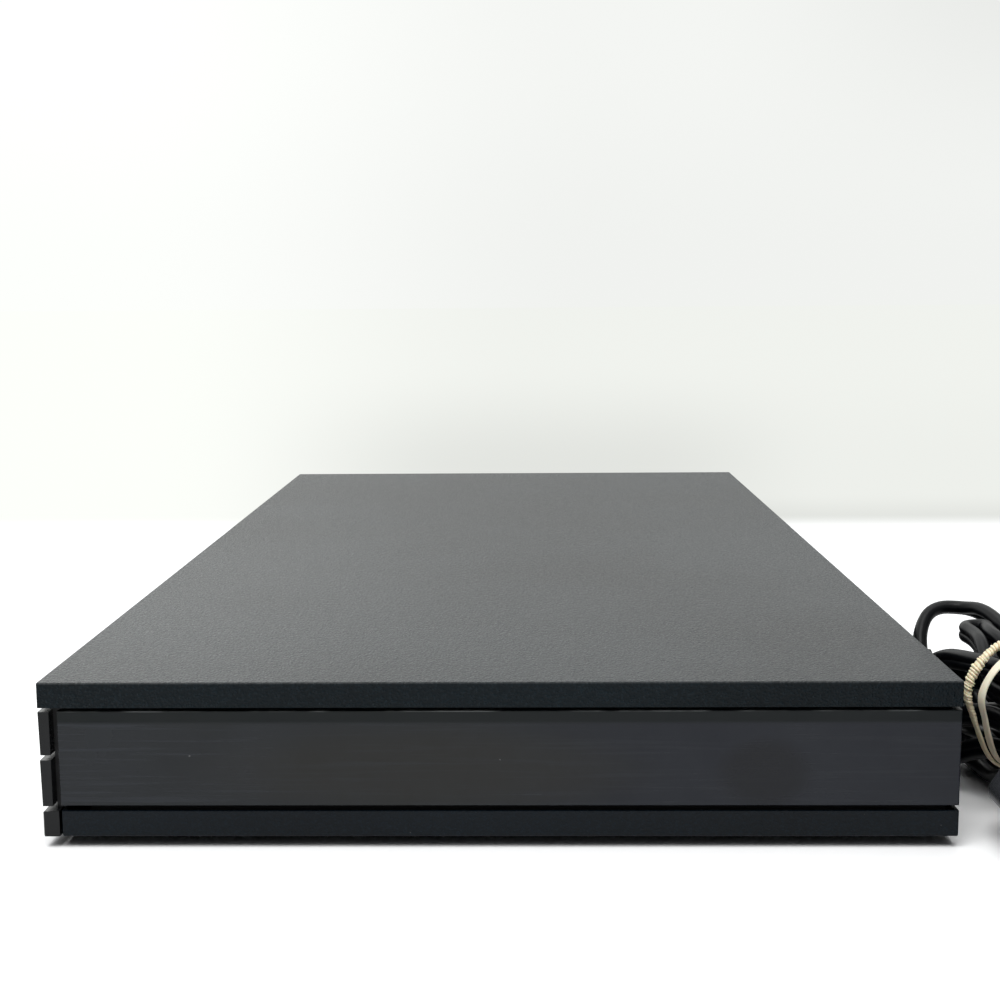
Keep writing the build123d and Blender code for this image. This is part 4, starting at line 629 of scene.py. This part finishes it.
# Colour, roughness, the grain's scale and depth, the change of tone, and steady values
moulded_finishes = {
    "slat_plastic": ((0.0045, 0.0052, 0.0060), 0.28, 700.0, 0.00003, 0.25, {"Specular IOR Level": 0.28}),
    "carrier_plastic": ((0.012, 0.012, 0.013), 0.55),
    "foot_rubber": ((0.018, 0.018, 0.018), 0.75, 1100.0, 0.00008),
    # Near-black side frames: painted shade for the gap between the lid and the side panels.
    "frame_black": ((0.010, 0.010, 0.011), 0.60, 1200.0, 0.00004),
    "loader_plastic": ((0.030, 0.030, 0.032), 0.58, 600.0, 0.00006),
    "tray_plastic": ((0.034, 0.034, 0.036), 0.42, 900.0, 0.00004),
    "gear_plastic": ((0.78, 0.77, 0.71), 0.42, 500.0, 0.00002, 0.06, {"Subsurface Weight": 0.1}),
    "belt_rubber": ((0.018, 0.018, 0.018), 0.62, 1800.0, 0.00005),
    "chip": ((0.022, 0.022, 0.023), 0.5, 1500.0, 0.00003),
    "capacitor": ((0.030, 0.036, 0.090), 0.28, 300.0, 0.00002, 0.10, {"Coat Weight": 0.4}),
    "transformer": ((0.11, 0.10, 0.09), 0.62, 420.0, 0.00010, 0.3),
    "jack_plastic": ((0.025, 0.025, 0.026), 0.45),
    "ribbon": ((0.66, 0.69, 0.74), 0.30, 300.0, 0.00002, 0.06, {"Coat Weight": 0.3}),
    "harness": ((0.42, 0.03, 0.03), 0.42, 900.0, 0.00002),
    "plug_plastic": ((0.034, 0.036, 0.041), 0.22, 500.0, 0.00002, 0.18, {"Specular IOR Level": 0.9}),
}

# Colour, roughness, how the streaks are scaled along each axis, their scale, and the zinc's spangle
metal_finishes = {
    "inner_steel": ((0.70, 0.71, 0.72), 0.36, (1.0, 0.1, 1.0), 700.0, 0.35),
    "motor_steel": ((0.66, 0.66, 0.67), 0.28, (1.0, 1.0, 0.15), 900.0),
    "rod_steel": ((0.80, 0.80, 0.81), 0.14, (1.0, 0.05, 1.0), 1500.0),
    "casting": ((0.58, 0.58, 0.59), 0.46, (1.0, 1.0, 1.0), 650.0, 0.1),
    "heat_sink": ((0.66, 0.67, 0.68), 0.34, (0.1, 1.0, 1.0), 800.0),
    "shell_metal": ((0.74, 0.74, 0.72), 0.24, (1.0, 0.1, 1.0), 900.0),
    "screw_black": ((0.10, 0.10, 0.105), 0.34),
    "screw_zinc": ((0.74, 0.73, 0.69), 0.26),
}

cover_colour, pan_colour = (0.0042, 0.0088, 0.0120), (0.0032, 0.0070, 0.0112)
finishes = {
    "cover_paint": pebbled_paint("cover_paint", cover_colour, 1400.0, 0.00042, 0.34, 0.14, 0.034),
    "pan_paint": pebbled_paint("pan_paint", pan_colour, 1700.0, 0.00014, 0.36, 0.18),
    "panel_plastic": scuffed_panel("panel_plastic"),
    "window_smoke": smoked_window(),
    "lens_glass": lens_glass(),
    "board": circuit_board("board", (0.015, 0.085, 0.035), (0.030, 0.150, 0.060)),
    "power_board": circuit_board("power_board", (0.36, 0.25, 0.11), (0.45, 0.33, 0.16), 0.1),
    "lead_rubber": flat_lead_rubber(),
    # Pale colour, the tan of the painted shade, and the scale of the creases' noise
    "band_twisted": band_rubber("band_twisted", (1.0, 0.91, 0.66), (0.52, 0.34, 0.15), 1300.0),
    "band_flat": band_rubber("band_flat", (1.0, 0.93, 0.74), (0.90, 0.76, 0.52), 420.0),
}
finishes.update({name: moulded(name, *values) for name, values in moulded_finishes.items()})
finishes.update({name: worked_metal(name, *values) for name, values in metal_finishes.items()})

node_finishes = {
    "cover_paint": ["top_cover"],
    "pan_paint": ["base_pan", "rear_panel"],
    "frame_black": ["side_frame_left", "side_frame_right"],
    "inner_steel": ["clamp_bridge"],
    "panel_plastic": ["side_panel_left", "side_panel_right"],
    "slat_plastic": [
        "upper_slat_left", "upper_slat_right", "lower_slat_left", "lower_slat_right",
        "usb_door", "front_lip", "tray_lid", "power_button", "eject_button",
    ],
    "carrier_plastic": ["front_bezel"],
    "window_smoke": ["front_window"],
    "foot_rubber": ["feet"],
    "board": ["front_board", "main_board"],
    "power_board": ["power_board"],
    "chip": ["front_switches", "processor"],
    "shell_metal": ["usb_port", "hdmi_ports"],
    "loader_plastic": ["loader_frame", "traverse_frame"],
    "tray_plastic": ["disc_tray"],
    "gear_plastic": ["tray_gear", "pulley_gear", "motor_pulley", "cam_slider"],
    "belt_rubber": ["drive_belt"],
    "motor_steel": ["loading_motor", "spindle_motor", "turntable", "feed_motor"],
    "rod_steel": ["guide_rods", "feed_screw"],
    "casting": ["pickup"],
    "lens_glass": ["pickup_lens"],
    "jack_plastic": ["clamp_puck", "lan_jack", "optical_jack"],
    "heat_sink": ["heat_sink", "power_cooler"],
    "capacitor": ["capacitors"],
    "transformer": ["transformer"],
    "ribbon": ["drive_ribbon"],
    "harness": ["power_harness"],
    "screw_black": ["cover_screws"],
    "screw_zinc": ["case_screws"],
    "lead_rubber": ["strain_relief", "cord_lead", "cord_hank"],
    "plug_plastic": ["power_plug"],
    "band_twisted": ["twisted_band"],
    "band_flat": ["flat_band"],
}


def wear(piece, material):
    """Gives a piece one material in all its slots."""
    piece.data.materials.clear()
    piece.data.materials.append(material)


for finish_name, names in node_finishes.items():
    for name in names:
        wear(nodes[name], finishes[finish_name])
wear(mains_lead, finishes["lead_rubber"])
wear(twisted_band, finishes["band_twisted"])
wear(flat_band, finishes["band_flat"])


# Floor, backdrop and light: the camera's place over the floor, to the millimetre, and the backdrop's tones
eye_x, eye_height = 0.571, 0.138
wall_level, left_gain = 0.875, 0.11
floor_half = 14.0


def seen(start):
    """1 for what is seen, straight, in gloss or through clear parts, and 0 for light on matte surfaces."""
    kinds = ["Is Camera Ray", "Is Glossy Ray", "Is Transmission Ray"]
    first, second, third = (start.make("ShaderNodeLightPath", kind) for kind in kinds)
    return (first + second + third).at_most(1.0)


def lay_floor():
    """A level sheet, white near the player. Past the backdrop's foot it takes the backdrop's pale tones.

    The tones change with how far down and how far sideways the camera sees a place, as slopes from its eye.
    """
    material, places = open_finish("studio_floor")
    x, y = places.axis("X"), places.axis("Y")
    away = (eye_x - x).at_least(0.2)
    depression = eye_height / away
    sideways = y / away
    beyond = depression.between(0.150, 0.163, 1.0, 0.0)
    left = sideways.between(-0.27, 0.02, 1.0, 0.0)
    foot = depression.between(0.045, 0.118)
    # Darker near the backdrop's foot in its middle and where the floor turns up: painted shade.
    foot_shade = sideways.between(-0.22, -0.04) * sideways.between(0.08, 0.22, 1.0, 0.2)
    fold = depression.between(0.135, 0.155) * sideways.between(-0.05, 0.22)
    level = wall_level + left * left_gain - foot_shade * foot * 0.11 - fold * 0.09
    tone = level.make("ShaderNodeCombineColor", 0, {0: level, 1: level * 1.02, 2: level * 0.975})
    shown = places.make("ShaderNodeLightPath", "Is Camera Ray") * 0.26 + 0.92
    sheet = places.make("ShaderNodeCombineColor", 0, {0: shown, 1: shown, 2: shown})
    near_floor = places.make("ShaderNodeBsdfDiffuse", 0, {"Color": sheet})
    backdrop = places.make("ShaderNodeEmission", 0, {"Color": tone, "Strength": 1.0})
    mixed = places.make("ShaderNodeMixShader", 0, {0: beyond * seen(places), 1: near_floor, 2: backdrop})
    join_output(mixed)
    signs = ((-1, -1), (1, -1), (1, 1), (-1, 1))
    corners = [(across * floor_half, back * floor_half, 0.0) for across, back in signs]
    mesh = bpy.data.meshes.new("studio_floor")
    mesh.from_pydata(corners, [], [(0, 1, 2, 3)])
    mesh.materials.append(material)
    floor = bpy.data.objects.new("studio_floor", mesh)
    bpy.context.scene.collection.objects.link(floor)


def fill_world():
    """A pale room: what is seen in it changes with direction, and it lights matte surfaces evenly."""
    world = bpy.data.worlds.new("studio")
    world.use_nodes = True
    world.node_tree.nodes.clear()
    start = Shade(world.node_tree, None)
    ways = start.make("ShaderNodeTexCoord", "Generated")
    x, y, z = ways.axis("X"), ways.axis("Y"), ways.axis("Z")
    left = y.between(-0.27, 0.05, 1.0, 0.0)
    top_right = y.between(0.10, 0.32) * z.between(0.05, 0.20)
    behind = x.between(-0.25, 0.55)
    higher = z.between(0.02, 0.16)
    level = wall_level + left * left_gain - top_right * 0.09 + higher * 0.03
    level = level * (1.0 - behind * 0.6)
    gloss = start.make("ShaderNodeLightPath", "Is Glossy Ray")
    softbox = z.between(0.12, 0.24, 0.0, 0.40) + y.between(-0.35, 0.0, 0.34, 0.0)
    level = level * (gloss * softbox + 1.0)
    tone = level.make("ShaderNodeCombineColor", 0, {0: level, 1: level * 1.015, 2: level * 0.99})
    shown = start.make("ShaderNodeBackground", 0, {"Color": tone, "Strength": 1.0})
    height = z.between(0.35, 0.95, 0.015, 1.0)
    light = start.make("ShaderNodeBackground", 0, {"Color": (0.97, 0.99, 1.0, 1.0), "Strength": height})
    mixed = start.make("ShaderNodeMixShader", 0, {0: seen(start), 1: light, 2: shown})
    join_output(mixed, "ShaderNodeOutputWorld")
    bpy.context.scene.world = world


def hang_lamp(name, place, aim, size, power):
    """A square soft lamp that faces a place."""
    data = bpy.data.lights.new(name, "AREA")
    data.shape = "SQUARE"
    data.size = size
    data.energy = power
    lamp = bpy.data.objects.new(name, data)
    lamp.location = place
    lamp.rotation_euler = (Vector(aim) - Vector(place)).to_track_quat("-Z", "Y").to_euler()
    bpy.context.scene.collection.objects.link(lamp)


lay_floor()
fill_world()
hang_lamp("overhead_lamp", (0.62, -0.20, 1.15), aim=(0.2, 0.05, 0.0), size=0.80, power=9.5)
hang_lamp("back_lamp", (-0.35, 0.0, 1.30), aim=(-0.1, 0.0, 0.0), size=0.90, power=4.0)
bpy.context.scene.view_settings.view_transform = "Standard"
